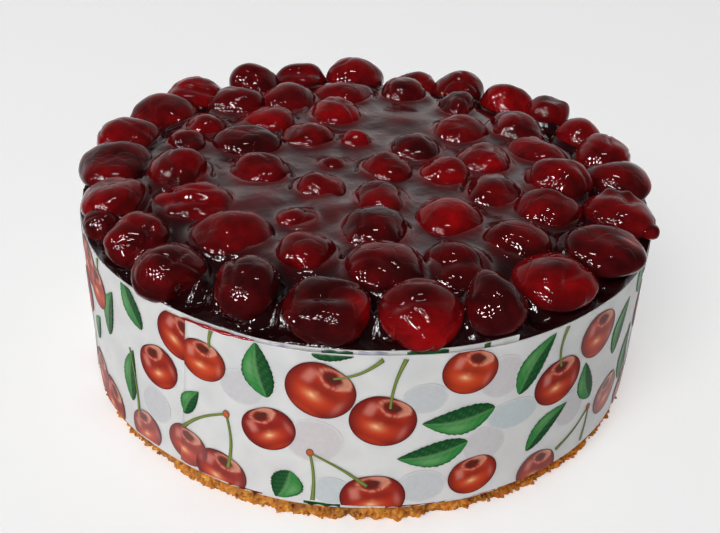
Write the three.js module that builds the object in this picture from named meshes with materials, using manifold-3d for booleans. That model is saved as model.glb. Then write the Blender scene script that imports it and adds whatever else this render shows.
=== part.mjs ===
// Cherry cheesecake in millimetres, +Z up, standing on its crust at z = 0 with its axis on Z.
// A biscuit crust carries the cheese, and a printed film collar wraps it. Whole cherries sit in jelly on top.

import * as THREE from 'three';
import { mergeVertices } from 'three/addons/utils/BufferGeometryUtils.js';
import Module from 'manifold-3d';

const wasm = await Module();
wasm.setup();

const { degToRad, smoothstep, seededRandom } = THREE.MathUtils;
const FULL_TURN = 2 * Math.PI;

// Driving dimensions
const CAKE_RADIUS = 110; // outside of the film collar
const CRUST_HEIGHT = 7; // crust that shows below the film
const FILM_HEIGHT = 62; // width of the film band
const GAP = 0.3; // left between neighbouring pieces
const SEED = 40215; // fixes every random draw

// Crust: pressed crumbs with a craggy wall and a flat foot
const CRUST_RADIUS = 107.8;
const CRUST_SIDES = 72;
const CRUST_LAYERS = 4;
const CRUST_CRAG = 1.1; // how far a crumb stands in or out of the wall
const CRUST_FOOT_INSET = 1.2; // the foot's edge is rubbed back
const CRUST_WAVE = 0.6; // slow unevenness of the outline
const CRUST_WAVES = 7;

// Film: one strip that overlaps itself, its outer end on top
const FILM_WALL = 0.4;
const FILM_SIDES = 90; // facets in a full turn
const FILM_SEAM = -120; // degrees, place of the outer end
const FILM_OVERLAP = 57; // degrees that lie double

// Cheese: a plain disc inside the film
const CHEESE_SIDES = 72;
const CHEESE_INSET = 1.9; // from the outside of the film, clear of both layers
const CHEESE_DROP = 3.5; // the film stands this far above the cheese

// Jelly: level in the middle, falling to the film's edge between the cherries
const JELLY_MIDDLE_RISE = 10; // above the top of the film
const JELLY_EDGE_RISE = 0.8;
const JELLY_FLAT_RADIUS = 76; // the fall to the edge starts here
const JELLY_SIDES = 40;
const JELLY_STEPS = [102, 90, 76, 62, 49, 37, 26, 17, 8]; // radii where the top's grid has a ring
const HUMP_RISE = 1.4; // swelling of the jelly over a cherry that is wholly sunk
const JELLY_BED = 0.6; // jelly under the cherries

// Cherries: rings of evenly spaced places whose spacing opens and closes slowly round the cake, in degrees.
// The half widths are the mean of the ring. The places named in sunk lie wholly in the jelly.
const RINGS = [
  { radius: 98.5, count: 24, start: -98, drift: 4, driftAt: 60, half: 12.3, sunk: [] },
  { radius: 74.5, count: 18, start: -86, drift: 3, driftAt: 216, half: 11.9, sunk: [] },
  { radius: 51, count: 12, start: -79, drift: 8, driftAt: 216, half: 11.2, sunk: [5, 10, 11] },
  { radius: 28.5, count: 7, start: -75, drift: 9, driftAt: 250, half: 10, sunk: [3, 5] },
  { radius: 6, count: 1, start: -15, drift: 0, driftAt: 0, half: 9, sunk: [0] },
];
// Cherries that lie off their even place: ring, place in the ring, degrees round and millimetres out.
const NUDGES = [
  [0, 5, 2, 0], [0, 6, 4.5, 0], [0, 7, 4.5, 0], [0, 8, 3, 0], [0, 9, 2, 0],
  [0, 18, -1.5, 0], [0, 19, -3, 0], [0, 20, -2, 0], [0, 21, 1.5, 0],
  [1, 0, 3, 2], [1, 1, 4, 2], [1, 3, 2, 0], [1, 4, 1.5, -2], [1, 5, 3, -2], [1, 7, 4, -2], [1, 9, 3, 0],
  [1, 10, 2.5, 0], [1, 13, -3, 0], [1, 14, -4, -2], [1, 15, -3, -1], [1, 17, 3, 0],
  [2, 1, 1, 2], [2, 2, 3, 2], [2, 3, 4, -2], [2, 4, 4, 0],
  [2, 7, 0, 3], [2, 8, -4, 0], [2, 9, -2, -8], [2, 11, -5, 0],
  [3, 1, 13, 3], [3, 2, 20, -2], [3, 3, 18, -4], [3, 4, 0, 6], [3, 5, 0, -13], [3, 6, -5, 2],
];
const CHERRY_SIDES = 9;
const CHERRY_ROWS = 6;
const CHERRY_SIZE_SPREAD = 0.17; // share of the half width
const CHERRY_RADIAL_JITTER = 1.6;
const CHERRY_TURN_JITTER = 0.7; // degrees
const CHERRY_SQUASH = 0.84; // height over width, along the stalk's axis
const CHERRY_TILT = 50; // degrees, the most that a stalk's axis leans
const CHERRY_LIFT = 0.8; // the most that a cherry is raised off the bed
const CHERRY_OVERHANG = 0.6; // the most that a cherry passes the film
const DIMPLE_DEPTH = 0.16; // share of the half width, at the stalk's end
const DIMPLE_ANGLE = 0.55; // radians

// Sizes that follow
const FILM_TOP = CRUST_HEIGHT + FILM_HEIGHT;
const CHEESE_TOP = FILM_TOP - CHEESE_DROP;
const FILLING_RADIUS = CAKE_RADIUS - CHEESE_INSET; // of the cheese and the jelly inside the film
const JELLY_BOTTOM = CHEESE_TOP + GAP;
const CHERRY_BED = JELLY_BOTTOM + JELLY_BED;

// Draws a repeatable number from -1 to 1.
const drawSigned = () => 2 * seededRandom() - 1;

// Merges the points that share a place and drops the faces that this leaves empty.
function welded(geometry) {
  geometry.deleteAttribute('normal');
  geometry.deleteAttribute('uv');
  const merged = mergeVertices(geometry);
  const corners = merged.index.array;
  const kept = [];
  for (let at = 0; at < corners.length; at += 3) {
    const [a, b, c] = corners.subarray(at, at + 3);
    if (a !== b && b !== c && c !== a) kept.push(a, b, c);
  }
  merged.setIndex(kept);
  return merged;
}

// Moves every point of a geometry by a function that changes the vector it is given.
function reshape(geometry, change) {
  const places = geometry.attributes.position;
  const place = new THREE.Vector3();
  for (let at = 0; at < places.count; at += 1) {
    place.fromBufferAttribute(places, at);
    change(place);
    places.setXYZ(at, place.x, place.y, place.z);
  }
  return geometry;
}

// Turns a closed, welded geometry into a solid that can be cut.
function toSolid(geometry) {
  const vertProperties = Float32Array.from(geometry.attributes.position.array);
  const triVerts = Uint32Array.from(geometry.index.array);
  return new wasm.Manifold(new wasm.Mesh({ numProp: 3, vertProperties, triVerts }));
}

// Turns a cut solid back into a geometry.
function toGeometry(solid) {
  const { vertProperties, triVerts } = solid.getMesh();
  const geometry = new THREE.BufferGeometry();
  geometry.setAttribute('position', new THREE.BufferAttribute(vertProperties, 3));
  geometry.setIndex(new THREE.BufferAttribute(triVerts, 1));
  return geometry;
}

function finished(name, geometry, look) {
  geometry.computeVertexNormals();
  const mesh = new THREE.Mesh(geometry, new THREE.MeshStandardMaterial(look));
  mesh.name = name;
  return mesh;
}

// A disc on the Z axis from one height to another.
function disc(radius, bottom, top, sides, layers) {
  const geometry = new THREE.CylinderGeometry(radius, radius, top - bottom, sides, layers);
  geometry.rotateX(Math.PI / 2);
  geometry.translate(0, 0, (bottom + top) / 2);
  return welded(geometry);
}

// The wall's points move in and out by a slow wave and by a draw each. The foot and the top stay flat.
function makeCrust() {
  const top = CRUST_HEIGHT - GAP;
  const layer = top / CRUST_LAYERS;
  const geometry = reshape(disc(CRUST_RADIUS, 0, top, CRUST_SIDES, CRUST_LAYERS), (place) => {
    const reach = Math.hypot(place.x, place.y);
    if (reach < CRUST_RADIUS / 2) return;
    const turn = Math.atan2(place.y, place.x);
    const wave = CRUST_WAVE * Math.sin(CRUST_WAVES * turn);
    const foot = place.z < layer / 2 ? CRUST_FOOT_INSET : 0;
    const scale = (reach + wave + CRUST_CRAG * drawSigned() - foot) / reach;
    place.x *= scale;
    place.y *= scale;
    const between = place.z > layer / 2 && place.z < top - layer / 2;
    if (between) place.z += (layer / 3) * drawSigned();
  });
  return finished('crust', geometry, { color: 0xc48a3e, roughness: 0.9, metalness: 0 });
}

function makeCheese() {
  const geometry = disc(FILLING_RADIUS, CRUST_HEIGHT, CHEESE_TOP, CHEESE_SIDES, 1);
  return finished('cheese', geometry, { color: 0xf2efe8, roughness: 0.6, metalness: 0 });
}

// A strip bent round in a spiral that closes in by one wall and one gap each turn.
function makeFilm() {
  const sweep = degToRad(360 + FILM_OVERLAP);
  const steps = Math.round((sweep / FULL_TURN) * FILM_SIDES);
  const edge = (inset) => Array.from({ length: steps + 1 }, (_, step) => {
    const turn = (sweep * step) / steps;
    const radius = CAKE_RADIUS - inset - ((FILM_WALL + GAP) * turn) / FULL_TURN;
    const angle = degToRad(FILM_SEAM) + turn;
    return new THREE.Vector2(radius * Math.cos(angle), radius * Math.sin(angle));
  });
  const outline = new THREE.Shape([...edge(0), ...edge(FILM_WALL).reverse()]);
  const geometry = new THREE.ExtrudeGeometry(outline, { depth: FILM_HEIGHT, bevelEnabled: false });
  geometry.translate(0, 0, CRUST_HEIGHT);
  return finished('film', welded(geometry), { color: 0xf3f3f5, roughness: 0.15, metalness: 0 });
}

// Lays out the places of all cherries, ring by ring, with their drawn size, place, lean and lift.
function layOutCherries() {
  seededRandom(SEED);
  return RINGS.flatMap((ring, ringIndex) => Array.from({ length: ring.count }, (_, index) => {
    const half = ring.half * (1 + CHERRY_SIZE_SPREAD * drawSigned());
    const isHere = ([nudgedRing, place]) => nudgedRing === ringIndex && place === index;
    const [, , round, out] = NUDGES.find(isHere) ?? [ringIndex, index, 0, 0];
    const even = (360 / ring.count) * index;
    const drift = ring.drift * Math.cos(degToRad(even - ring.driftAt));
    const angle = degToRad(ring.start + even + drift + round + CHERRY_TURN_JITTER * drawSigned());
    const wanted = ring.radius + out + CHERRY_RADIAL_JITTER * drawSigned();
    const reach = Math.min(wanted, CAKE_RADIUS + CHERRY_OVERHANG - half);
    const lean = degToRad(CHERRY_TILT) * seededRandom();
    const leanTowards = FULL_TURN * seededRandom();
    const lift = CHERRY_LIFT * seededRandom();
    const sunk = ring.sunk.includes(index);
    return { half, x: reach * Math.cos(angle), y: reach * Math.sin(angle), lean, leanTowards, lift, sunk };
  }));
}

// Shrinks two neighbours that would touch, each by the same share.
function fitToNeighbours(cherries) {
  cherries.forEach((cherry, at) => {
    cherries.slice(at + 1).forEach((other) => {
      const room = Math.hypot(cherry.x - other.x, cherry.y - other.y) - 2 * GAP;
      const share = room / (cherry.half + other.half);
      if (share >= 1) return;
      cherry.half *= share;
      other.half *= share;
    });
  });
}

// A ball dented at the stalk's end and squashed along the stalk's axis, leaning over and lying on the bed.
function makeCherry(cherry, name) {
  const ball = new THREE.SphereGeometry(1, CHERRY_SIDES, CHERRY_ROWS);
  ball.rotateX(Math.PI / 2);
  const geometry = reshape(welded(ball), (place) => {
    const fromStalk = Math.acos(THREE.MathUtils.clamp(place.z, -1, 1));
    const dent = DIMPLE_DEPTH * Math.exp(-((fromStalk / DIMPLE_ANGLE) ** 2));
    place.multiplyScalar(cherry.half * (1 - dent));
    place.z *= CHERRY_SQUASH;
  });
  const leanAxis = new THREE.Vector3(-Math.sin(cherry.leanTowards), Math.cos(cherry.leanTowards), 0);
  const mesh = finished(name, geometry, { color: 0x6e0d15, roughness: 0.12, metalness: 0 });
  mesh.quaternion.setFromAxisAngle(leanAxis, cherry.lean);
  const lowest = new THREE.Box3().setFromObject(mesh, true).min.z;
  mesh.position.set(cherry.x, cherry.y, CHERRY_BED + cherry.lift - lowest);
  mesh.updateMatrix();
  return mesh;
}

// The height of the jelly: flat in the middle, falling to the edge, with a low hump over each sunk cherry.
function jellyHeight(x, y, sunkCherries) {
  const fall = smoothstep(Math.hypot(x, y), JELLY_FLAT_RADIUS, FILLING_RADIUS);
  const level = FILM_TOP + THREE.MathUtils.lerp(JELLY_MIDDLE_RISE, JELLY_EDGE_RISE, fall);
  return sunkCherries.reduce((height, { x: sunkX, y: sunkY, half }) => {
    const away = Math.hypot(x - sunkX, y - sunkY) / half;
    return height + HUMP_RISE * Math.exp(-(away ** 2));
  }, level);
}

// The jelly is turned as a plain disc, raised to its height, and cut to a socket round each proud cherry.
function makeJelly(cherryMeshes, sunkCherries) {
  const topHeight = FILM_TOP + JELLY_MIDDLE_RISE;
  const profile = [
    new THREE.Vector2(0, JELLY_BOTTOM),
    new THREE.Vector2(FILLING_RADIUS, JELLY_BOTTOM),
    ...[FILLING_RADIUS, ...JELLY_STEPS, 0].map((radius) => new THREE.Vector2(radius, topHeight)),
  ];
  const turned = new THREE.LatheGeometry(profile, JELLY_SIDES);
  turned.rotateX(Math.PI / 2);
  const raised = reshape(welded(turned), (place) => {
    if (place.z > JELLY_BOTTOM + GAP) place.z = jellyHeight(place.x, place.y, sunkCherries);
  });
  const cut = cherryMeshes.reduce((solid, mesh) => {
    const radius = mesh.userData.half;
    const socket = mesh.geometry.clone().scale(...Array(3).fill((radius + GAP) / radius));
    return solid.subtract(toSolid(welded(socket.applyMatrix4(mesh.matrix))));
  }, toSolid(raised));
  return finished('jelly', toGeometry(cut), { color: 0x3c0a10, roughness: 0.08, metalness: 0 });
}

const layout = layOutCherries();
fitToNeighbours(layout);
const sunkCherries = layout.filter((cherry) => cherry.sunk);
const proudCherries = layout.filter((cherry) => !cherry.sunk);
const cherryMeshes = proudCherries.map((cherry, index) => {
  const mesh = makeCherry(cherry, `cherry_${String(index + 1).padStart(2, '0')}`);
  mesh.userData.half = cherry.half;
  return mesh;
});

const cake = new THREE.Group();
cake.add(makeCrust(), makeCheese(), makeFilm(), makeJelly(cherryMeshes, sunkCherries), ...cherryMeshes);

export default cake;
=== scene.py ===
"""Dresses the cherry cheesecake: glazed cherries in jelly, a printed film collar and a biscuit crust."""

import math

import bmesh
import bpy
import numpy as np
from mathutils import Matrix, Vector


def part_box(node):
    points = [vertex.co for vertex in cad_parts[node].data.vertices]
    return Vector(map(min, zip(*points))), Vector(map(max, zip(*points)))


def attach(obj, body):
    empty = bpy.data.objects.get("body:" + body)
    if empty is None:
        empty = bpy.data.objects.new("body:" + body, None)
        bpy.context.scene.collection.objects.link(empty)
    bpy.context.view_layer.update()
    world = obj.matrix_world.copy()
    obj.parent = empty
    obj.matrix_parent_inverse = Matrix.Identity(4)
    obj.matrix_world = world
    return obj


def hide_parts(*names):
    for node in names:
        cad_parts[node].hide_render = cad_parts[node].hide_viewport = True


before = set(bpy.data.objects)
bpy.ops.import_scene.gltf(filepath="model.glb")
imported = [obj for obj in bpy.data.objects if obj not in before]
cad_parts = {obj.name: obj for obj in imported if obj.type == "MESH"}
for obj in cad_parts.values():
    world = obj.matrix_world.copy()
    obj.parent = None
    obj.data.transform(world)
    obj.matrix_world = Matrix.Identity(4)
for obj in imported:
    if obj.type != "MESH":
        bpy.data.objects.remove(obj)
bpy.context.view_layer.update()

# Sizes are in millimetres until a mesh is made, and angles are in degrees.
MM = 0.001
TURN = 2 * math.pi

# Film collar: a strip wound counter-clockwise from its outer end, each turn just inside the one before.
FILM_RADIUS = 110.0
FILM_PITCH = 0.7
FILM_THICKNESS = 0.3
FILM_START = -120.0
FILM_OVERLAP = 57.0
FILM_BOTTOM = 7.0
FILM_TOP = 69.0
FILM_END_SLANT = 6.5
FILM_INNER_SPARE = 1.6
FILM_HANG = 4.5
FILM_TURN_LENGTH = FILM_RADIUS * TURN
FILM_LENGTH = FILM_TURN_LENGTH * (1 + FILM_OVERLAP / 360)

# Jelly: underside, and how high its middle and its rim stand over the film's top edge.
JELLY_UNDERSIDE = 65.8
JELLY_CROWN = 9.0
JELLY_RIM = 0.6
# Radius to which the jelly is level, and radius at which it has fallen to its rim.
JELLY_FLAT = 73.0
JELLY_BAND = 104.0
# How much further out it is level on the filled side, that side's compass angle, and how squarely a place
# faces it where the filling begins and where it is full.
JELLY_FILL = 10.0
JELLY_FILL_SIDE = 150.0
JELLY_FILL_FACING = (-0.3, 0.7)

# Cherries that the jelly covers whole: place across the cake and half width.
SUNK_CHERRIES = (
    (13.8, 49.1, 11.0),
    (-39.0, -30.0, 10.0),
    (-12.9, -35.0, 8.0),
)

RIM_RING = range(1, 25)
SECOND_RING = range(25, 43)
INNER_RINGS = range(43, 57)

# Small and half sunk cherries that have no node: their number, middle and half sizes.
EXTRA_CHERRIES = {
    57: ((6.5, -1.0, 76.2), (9.6, 9.2, 8.2)),
    58: ((-5.2, 23.0, 76.8), (6.6, 6.4, 5.8)),
    59: ((-23.6, -45.0, 75.2), (8.2, 7.6, 6.6)),
    60: ((-14.0, 1.5, 76.0), (5.8, 5.4, 4.8)),
    61: ((-93.0, -44.0, 72.0), (6.6, 6.2, 5.6)),
    62: ((102.6, -35.2, 75.2), (3.6, 3.2, 2.8)),
}


# Helpers for numbers and colours

# Shortest length that anything is divided by.
LEAST_LENGTH = 0.1
# Margin round each copy's cell on the sheet for baking, as a share of the cell.
CELL_MARGIN = 0.04
# Points nearer than this are joined, and a cut takes points this near as lying on it, both in metres.
JOIN_DISTANCE = 1e-6
CUT_DISTANCE = 1e-7
# A colour mix's inputs for factor, first and second colour, and its output.
MIX_INPUTS = (0, 6, 7)
MIX_OUTPUT = 2


def srgb(red, green, blue):
    """A linear colour from the 0 to 255 values that a screen shows."""
    value = np.array([red, green, blue]) / 255
    return np.where(value <= 0.04045, value / 12.92, ((value + 0.055) / 1.055) ** 2.4)


def smooth(value, low, high):
    """An S-shaped ramp from 0 at low to 1 at high."""
    part = np.clip((value - low) / (high - low), 0, 1)
    return part * part * (3 - 2 * part)


def oval(x, y, middle, half):
    """Distance from an oval's middle, counted so that it is 1 on the oval."""
    return np.hypot((x - middle[0]) / half[0], (y - middle[1]) / half[1])


def spot(x, y, middle, half):
    """A soft oval patch: 1 in its middle, falling off as a bell curve with the given half widths."""
    return np.exp(-(oval(x, y, middle, half) ** 2))


def bell(value, middle, half):
    """A bell curve: 1 at its middle, falling off with the given half width."""
    return np.exp(-(((value - middle) / half) ** 2))


def mix(base, colour, weight):
    """Moves base colours towards one colour by a weight at each point."""
    return base + (np.asarray(colour) - base) * np.asarray(weight)[..., None]


def ripples(points, length, seed, count=14):
    """Smooth noise of about unit size: a sum of sine waves of one length that run in random directions."""
    rng = np.random.default_rng(seed)
    heading = rng.normal(size=(count, points.shape[-1]))
    heading /= np.linalg.norm(heading, axis=1, keepdims=True)
    phase = rng.uniform(0, TURN, count)
    return np.sin(points @ heading.T * (TURN / length) + phase).sum(-1) * math.sqrt(2 / count)


def grid_quads(rows, columns, wrap=False):
    """Corner numbers of a grid's squares, row by row; wrap joins the last column to the first."""
    row = np.arange(rows - 1)[:, None]
    column = np.arange(columns if wrap else columns - 1)[None]
    after = (column + 1) % columns
    here = row * columns
    above = (row + 1) * columns
    corners = [here + column, here + after, above + after, above + column]
    return np.stack(np.broadcast_arrays(*corners), -1).reshape(-1, 4)


def grid_corner_uv(rows, columns, wrap=False):
    """Places of the same corners in the unit square, columns across and rows up."""
    across = columns if wrap else columns - 1
    row, column = np.meshgrid(np.arange(rows - 1), np.arange(across), indexing="ij")
    steps = ((0, 0), (0, 1), (1, 1), (1, 0))
    places = [np.stack([(column + right) / across, (row + up) / (rows - 1)], -1) for up, right in steps]
    return np.stack(places, -2).reshape(-1, 4, 2)


def repeat_quads(quads, size, copies):
    """The same squares for each of several equal grids that lie one after another."""
    return (quads[None] + size * np.arange(copies)[:, None, None]).reshape(-1, 4)


def cell_uv(corner_uv, copies):
    """Gives each copy of a grid its own cell of a square sheet, with a margin."""
    side = math.ceil(math.sqrt(copies))
    cell = np.arange(copies)
    place = np.stack([cell % side, cell // side], -1)[:, None, None]
    inside = CELL_MARGIN + (1 - 2 * CELL_MARGIN) * corner_uv[None]
    return ((place + inside) / side).reshape(-1, 2)


def unit_ball(rows, columns):
    """Directions on a ball from its upper pole down, with the angle from the pole and the angle round it."""
    polar = np.linspace(0, math.pi, rows)[:, None]
    around = np.linspace(0, TURN, columns, endpoint=False)[None]
    level = np.sin(polar)
    ball = np.broadcast_arrays(level * np.cos(around), level * np.sin(around), np.cos(polar))
    return np.stack(ball, -1), polar, around


def round_cake(radius, angle, height):
    """Places at radii, angles in radians and heights round the cake."""
    return np.stack(np.broadcast_arrays(radius * np.cos(angle), radius * np.sin(angle), height), -1)


def fill_mesh(name, points, quads, colours=None, uv=None):
    """A mesh from whole arrays: points in millimetres, squares, colours at the points, places for baking."""
    mesh = bpy.data.meshes.new(name)
    points = points.reshape(-1, 3) * MM
    mesh.vertices.add(len(points))
    mesh.vertices.foreach_set("co", points.astype(np.float32).ravel())
    mesh.loops.add(quads.size)
    mesh.loops.foreach_set("vertex_index", quads.astype(np.int32).ravel())
    mesh.polygons.add(len(quads))
    mesh.polygons.foreach_set("loop_start", np.arange(0, quads.size, 4, dtype=np.int32))
    mesh.update(calc_edges=True)
    if uv is not None:
        layer = mesh.uv_layers.new(name="OFBake")
        layer.data.foreach_set("uv", uv.astype(np.float32).ravel())
    if colours is not None:
        tint = mesh.color_attributes.new("tint", "FLOAT_COLOR", "POINT")
        full = np.concatenate([colours.reshape(-1, 3), np.ones((len(points), 1))], 1)
        tint.data.foreach_set("color", full.astype(np.float32).ravel())
    return mesh


def merge_doubles(mesh):
    """Closes seams and poles by joining points that lie on each other."""
    made = bmesh.new()
    made.from_mesh(mesh)
    bmesh.ops.remove_doubles(made, verts=made.verts, dist=JOIN_DISTANCE)
    made.to_mesh(mesh)
    made.free()
    mesh.polygons.foreach_set("use_smooth", np.ones(len(mesh.polygons), bool))
    mesh.update()


def add_piece(mesh, material, replaced=()):
    """Puts a mesh into the scene as a piece of the cake."""
    piece = bpy.data.objects.new(mesh.name, mesh)
    bpy.context.scene.collection.objects.link(piece)
    mesh.materials.append(material)
    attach(piece, "root")
    if replaced:
        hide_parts(*replaced)
    return piece


# Helpers for materials


def new_material(name, **sockets):
    """A material of one principled shader, with its constant sockets set by name."""
    material = bpy.data.materials.new(name)
    material.use_nodes = True
    shader = material.node_tree.nodes["Principled BSDF"]
    for socket, value in sockets.items():
        shader.inputs[socket.replace("_", " ")].default_value = value
    return material, material.node_tree, shader


def add_node(tree, kind, settings=None, **inputs):
    """A shader node with its settings and unlinked inputs set by name."""
    made = tree.nodes.new(kind)
    for key, value in (settings or {}).items():
        setattr(made, key, value)
    for key, value in inputs.items():
        made.inputs[key].default_value = value
    return made


def add_noise(tree, scale, detail=2.0, roughness=0.5):
    """Noise on the piece's Object coordinates; scale counts features to the metre."""
    place = add_node(tree, "ShaderNodeTexCoord")
    made = add_node(tree, "ShaderNodeTexNoise", Scale=scale, Detail=detail, Roughness=roughness)
    tree.links.new(place.outputs["Object"], made.inputs["Vector"])
    return made


def add_ramp(tree, factor, *stops):
    """A colour ramp with (place, linear colour) stops."""
    made = tree.nodes.new("ShaderNodeValToRGB")
    ends = made.color_ramp.elements
    for index, (place, colour) in enumerate(stops):
        stop = ends[index] if index < 2 else ends.new(place)
        stop.position = place
        stop.color = (*colour, 1)
    tree.links.new(factor, made.inputs["Fac"])
    return made


def add_mix(tree, blend, factor, first, second):
    """A colour mix whose factor, first and second are sockets or plain values."""
    made = add_node(tree, "ShaderNodeMix", {"data_type": "RGBA", "blend_type": blend})
    for socket, value in zip(MIX_INPUTS, (factor, first, second)):
        if isinstance(value, bpy.types.NodeSocket):
            tree.links.new(value, made.inputs[socket])
        else:
            made.inputs[socket].default_value = value
    return made.outputs[MIX_OUTPUT]


def add_range(tree, value, low, high, first, last):
    """A smooth change from first at low to last at high of a value socket."""
    made = add_node(tree, "ShaderNodeMapRange", {"interpolation_type": "SMOOTHSTEP"})
    for socket, number in zip(("From Min", "From Max", "To Min", "To Max"), (low, high, first, last)):
        made.inputs[socket].default_value = number
    tree.links.new(value, made.inputs["Value"])
    return made.outputs["Result"]


def add_bump(tree, shader, *layers):
    """Bump from one or more (height socket, distance in millimetres) layers, stacked."""
    before = None
    for height, distance in layers:
        made = add_node(tree, "ShaderNodeBump", Strength=1.0, Distance=distance * MM)
        tree.links.new(height, made.inputs["Height"])
        if before:
            tree.links.new(before.outputs["Normal"], made.inputs["Normal"])
        before = made
    tree.links.new(before.outputs["Normal"], shader.inputs["Normal"])


def tint_of(tree):
    """The colour that the mesh carries at each point."""
    return add_node(tree, "ShaderNodeAttribute", {"attribute_name": "tint"}).outputs["Color"]


# Materials

# Jelly's roughness in the middle and near the film, and the radii between which it changes.
SATIN = 0.2
WET = 0.05
SATIN_RADIUS = 62.0
WET_RADIUS = 82.0
# How strongly the jelly mirrors the room in the middle and in the gaps near the film, and the radii between.
MIDDLE_SHEEN = 0.56
GAP_SHEEN = 0.2
MIDDLE_SHEEN_RADIUS = 74.0
GAP_SHEEN_RADIUS = 88.0


def cherry_material():
    """Glazed cherry: the mesh's reds with their painted glow and shade, faintly mottled, under a wet gloss
    with soft unevenness.
    """
    material, tree, shader = new_material(
        "glazed_cherry",
        Roughness=0.02,
        IOR=1.4,
        Specular_Tint=(1.0, 0.8, 0.8, 1),
        Specular_IOR_Level=0.17,
    )
    mottle = add_noise(tree, scale=260, detail=3)
    shade = add_ramp(tree, mottle.outputs["Fac"], (0.3, (0.72, 0.7, 0.7)), (0.7, (1.15, 1.2, 1.2)))
    colour = add_mix(tree, "MULTIPLY", 1.0, tint_of(tree), shade.outputs["Color"])
    tree.links.new(colour, shader.inputs["Base Color"])
    folds = add_noise(tree, scale=95, detail=2, roughness=0.4)
    crease = add_ramp(tree, folds.outputs["Fac"], (0.47, (1, 1, 1)), (0.5, (0, 0, 0)), (0.53, (1, 1, 1)))
    soft = add_noise(tree, scale=280, detail=1)
    fine = add_noise(tree, scale=900, detail=2)
    layers = ((crease.outputs["Color"], 0.07), (soft.outputs["Fac"], 0.12), (fine.outputs["Fac"], 0.006))
    add_bump(tree, shader, *layers)
    return material


def jelly_material():
    """Set cherry jelly: near black red, finely rippled, satin in the middle and wet towards the film."""
    material, tree, shader = new_material("cherry_jelly", IOR=1.45)
    tree.links.new(tint_of(tree), shader.inputs["Base Color"])
    place = add_node(tree, "ShaderNodeTexCoord")
    flat = add_node(tree, "ShaderNodeVectorMath", {"operation": "MULTIPLY"})
    flat.inputs[1].default_value = (1, 1, 0)
    tree.links.new(place.outputs["Object"], flat.inputs[0])
    radius = add_node(tree, "ShaderNodeVectorMath", {"operation": "LENGTH"})
    tree.links.new(flat.outputs["Vector"], radius.inputs[0])
    gloss = add_range(tree, radius.outputs["Value"], SATIN_RADIUS * MM, WET_RADIUS * MM, SATIN, WET)
    tree.links.new(gloss, shader.inputs["Roughness"])
    near, far = MIDDLE_SHEEN_RADIUS * MM, GAP_SHEEN_RADIUS * MM
    sheen = add_range(tree, radius.outputs["Value"], near, far, MIDDLE_SHEEN, GAP_SHEEN)
    tree.links.new(sheen, shader.inputs["Specular IOR Level"])
    soft = add_noise(tree, scale=320, detail=2)
    fine = add_noise(tree, scale=900, detail=2)
    add_bump(tree, shader, (soft.outputs["Fac"], 0.05), (fine.outputs["Fac"], 0.09))
    return material


def film_material():
    """White plastic film: faint lilac and grey clouds, thin creases, smooth gloss."""
    material, tree, shader = new_material("film", Roughness=0.4, IOR=1.5, Specular_IOR_Level=0.3)
    clouds = add_noise(tree, scale=45, detail=2)
    ground = add_ramp(
        tree,
        clouds.outputs["Fac"],
        (0.35, srgb(207, 205, 205)),
        (0.5, srgb(214, 214, 213)),
        (0.68, srgb(203, 204, 204)),
    )
    tree.links.new(ground.outputs["Color"], shader.inputs["Base Color"])
    waves = add_noise(tree, scale=90, detail=2)
    add_bump(tree, shader, (waves.outputs["Fac"], 0.25))
    return material


def ink_material():
    """Print on the film: the mesh's own colours with the film's gloss and a faint grain."""
    material, tree, shader = new_material("print_ink", Roughness=0.4, IOR=1.5, Specular_IOR_Level=0.15)
    grain = add_noise(tree, scale=700, detail=3)
    shade = add_ramp(tree, grain.outputs["Fac"], (0.3, (0.96, 0.96, 0.96)), (0.7, (1.03, 1.03, 1.03)))
    colour = add_mix(tree, "MULTIPLY", 1.0, tint_of(tree), shade.outputs["Color"])
    tree.links.new(colour, shader.inputs["Base Color"])
    return material


def crust_material():
    """Baked biscuit crumb: golden brown with toasted grains and dark pits."""
    material, tree, shader = new_material("biscuit_crumb", Roughness=0.75, IOR=1.4, Specular_IOR_Level=0.2)
    grains = add_noise(tree, scale=420, detail=5, roughness=0.6)
    colour = add_ramp(
        tree,
        grains.outputs["Fac"],
        (0.3, srgb(106, 48, 8)),
        (0.43, srgb(169, 96, 16)),
        (0.58, srgb(198, 129, 32)),
        (0.74, srgb(222, 169, 78)),
    )
    toned = add_mix(tree, "MULTIPLY", 1.0, colour.outputs["Color"], tint_of(tree))
    tree.links.new(toned, shader.inputs["Base Color"])
    add_bump(tree, shader, (grains.outputs["Fac"], 0.5))
    return material


def cheese_material():
    """Baked cheese filling: pale cream with faint specks."""
    material, tree, shader = new_material("cheese_cream", Roughness=0.5, IOR=1.4)
    specks = add_noise(tree, scale=500, detail=3)
    colour = add_ramp(tree, specks.outputs["Fac"], (0.35, srgb(236, 216, 170)), (0.65, srgb(248, 238, 208)))
    tree.links.new(colour.outputs["Color"], shader.inputs["Base Color"])
    add_bump(tree, shader, (specks.outputs["Fac"], 0.1))
    return material


def floor_material():
    """Plain pale floor that glows a little, as a lit table does, so that shadows on it stay soft."""
    material, _, _ = new_material(
        "pale_floor",
        Base_Color=(0.7, 0.7, 0.7, 1),
        Roughness=0.6,
        Emission_Color=(1.0, 1.0, 1.0, 1),
        Emission_Strength=0.43,
    )
    return material


# Jelly level and the cherries in it


def node_name(number):
    """The name of a cherry's node in the frame."""
    return f"cherry_{number:02d}"


def cherry_box(number):
    """Middle and half sizes of one cherry, read from its node if it has one, with its own lie and shares."""
    if number in EXTRA_CHERRIES:
        return EXTRA_CHERRIES[number]
    low, high = np.array(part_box(node_name(number))) / MM
    fit = np.array(CHERRY_FITS.get(number, NODE_FIT), float)
    spread = RIM_SPREAD if number in RIM_RING else INNER_SPREAD
    return (low + high) / 2 + fit[:3], (high - low) / 2 * fit[3:] * np.array([spread, spread, 1])


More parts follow.
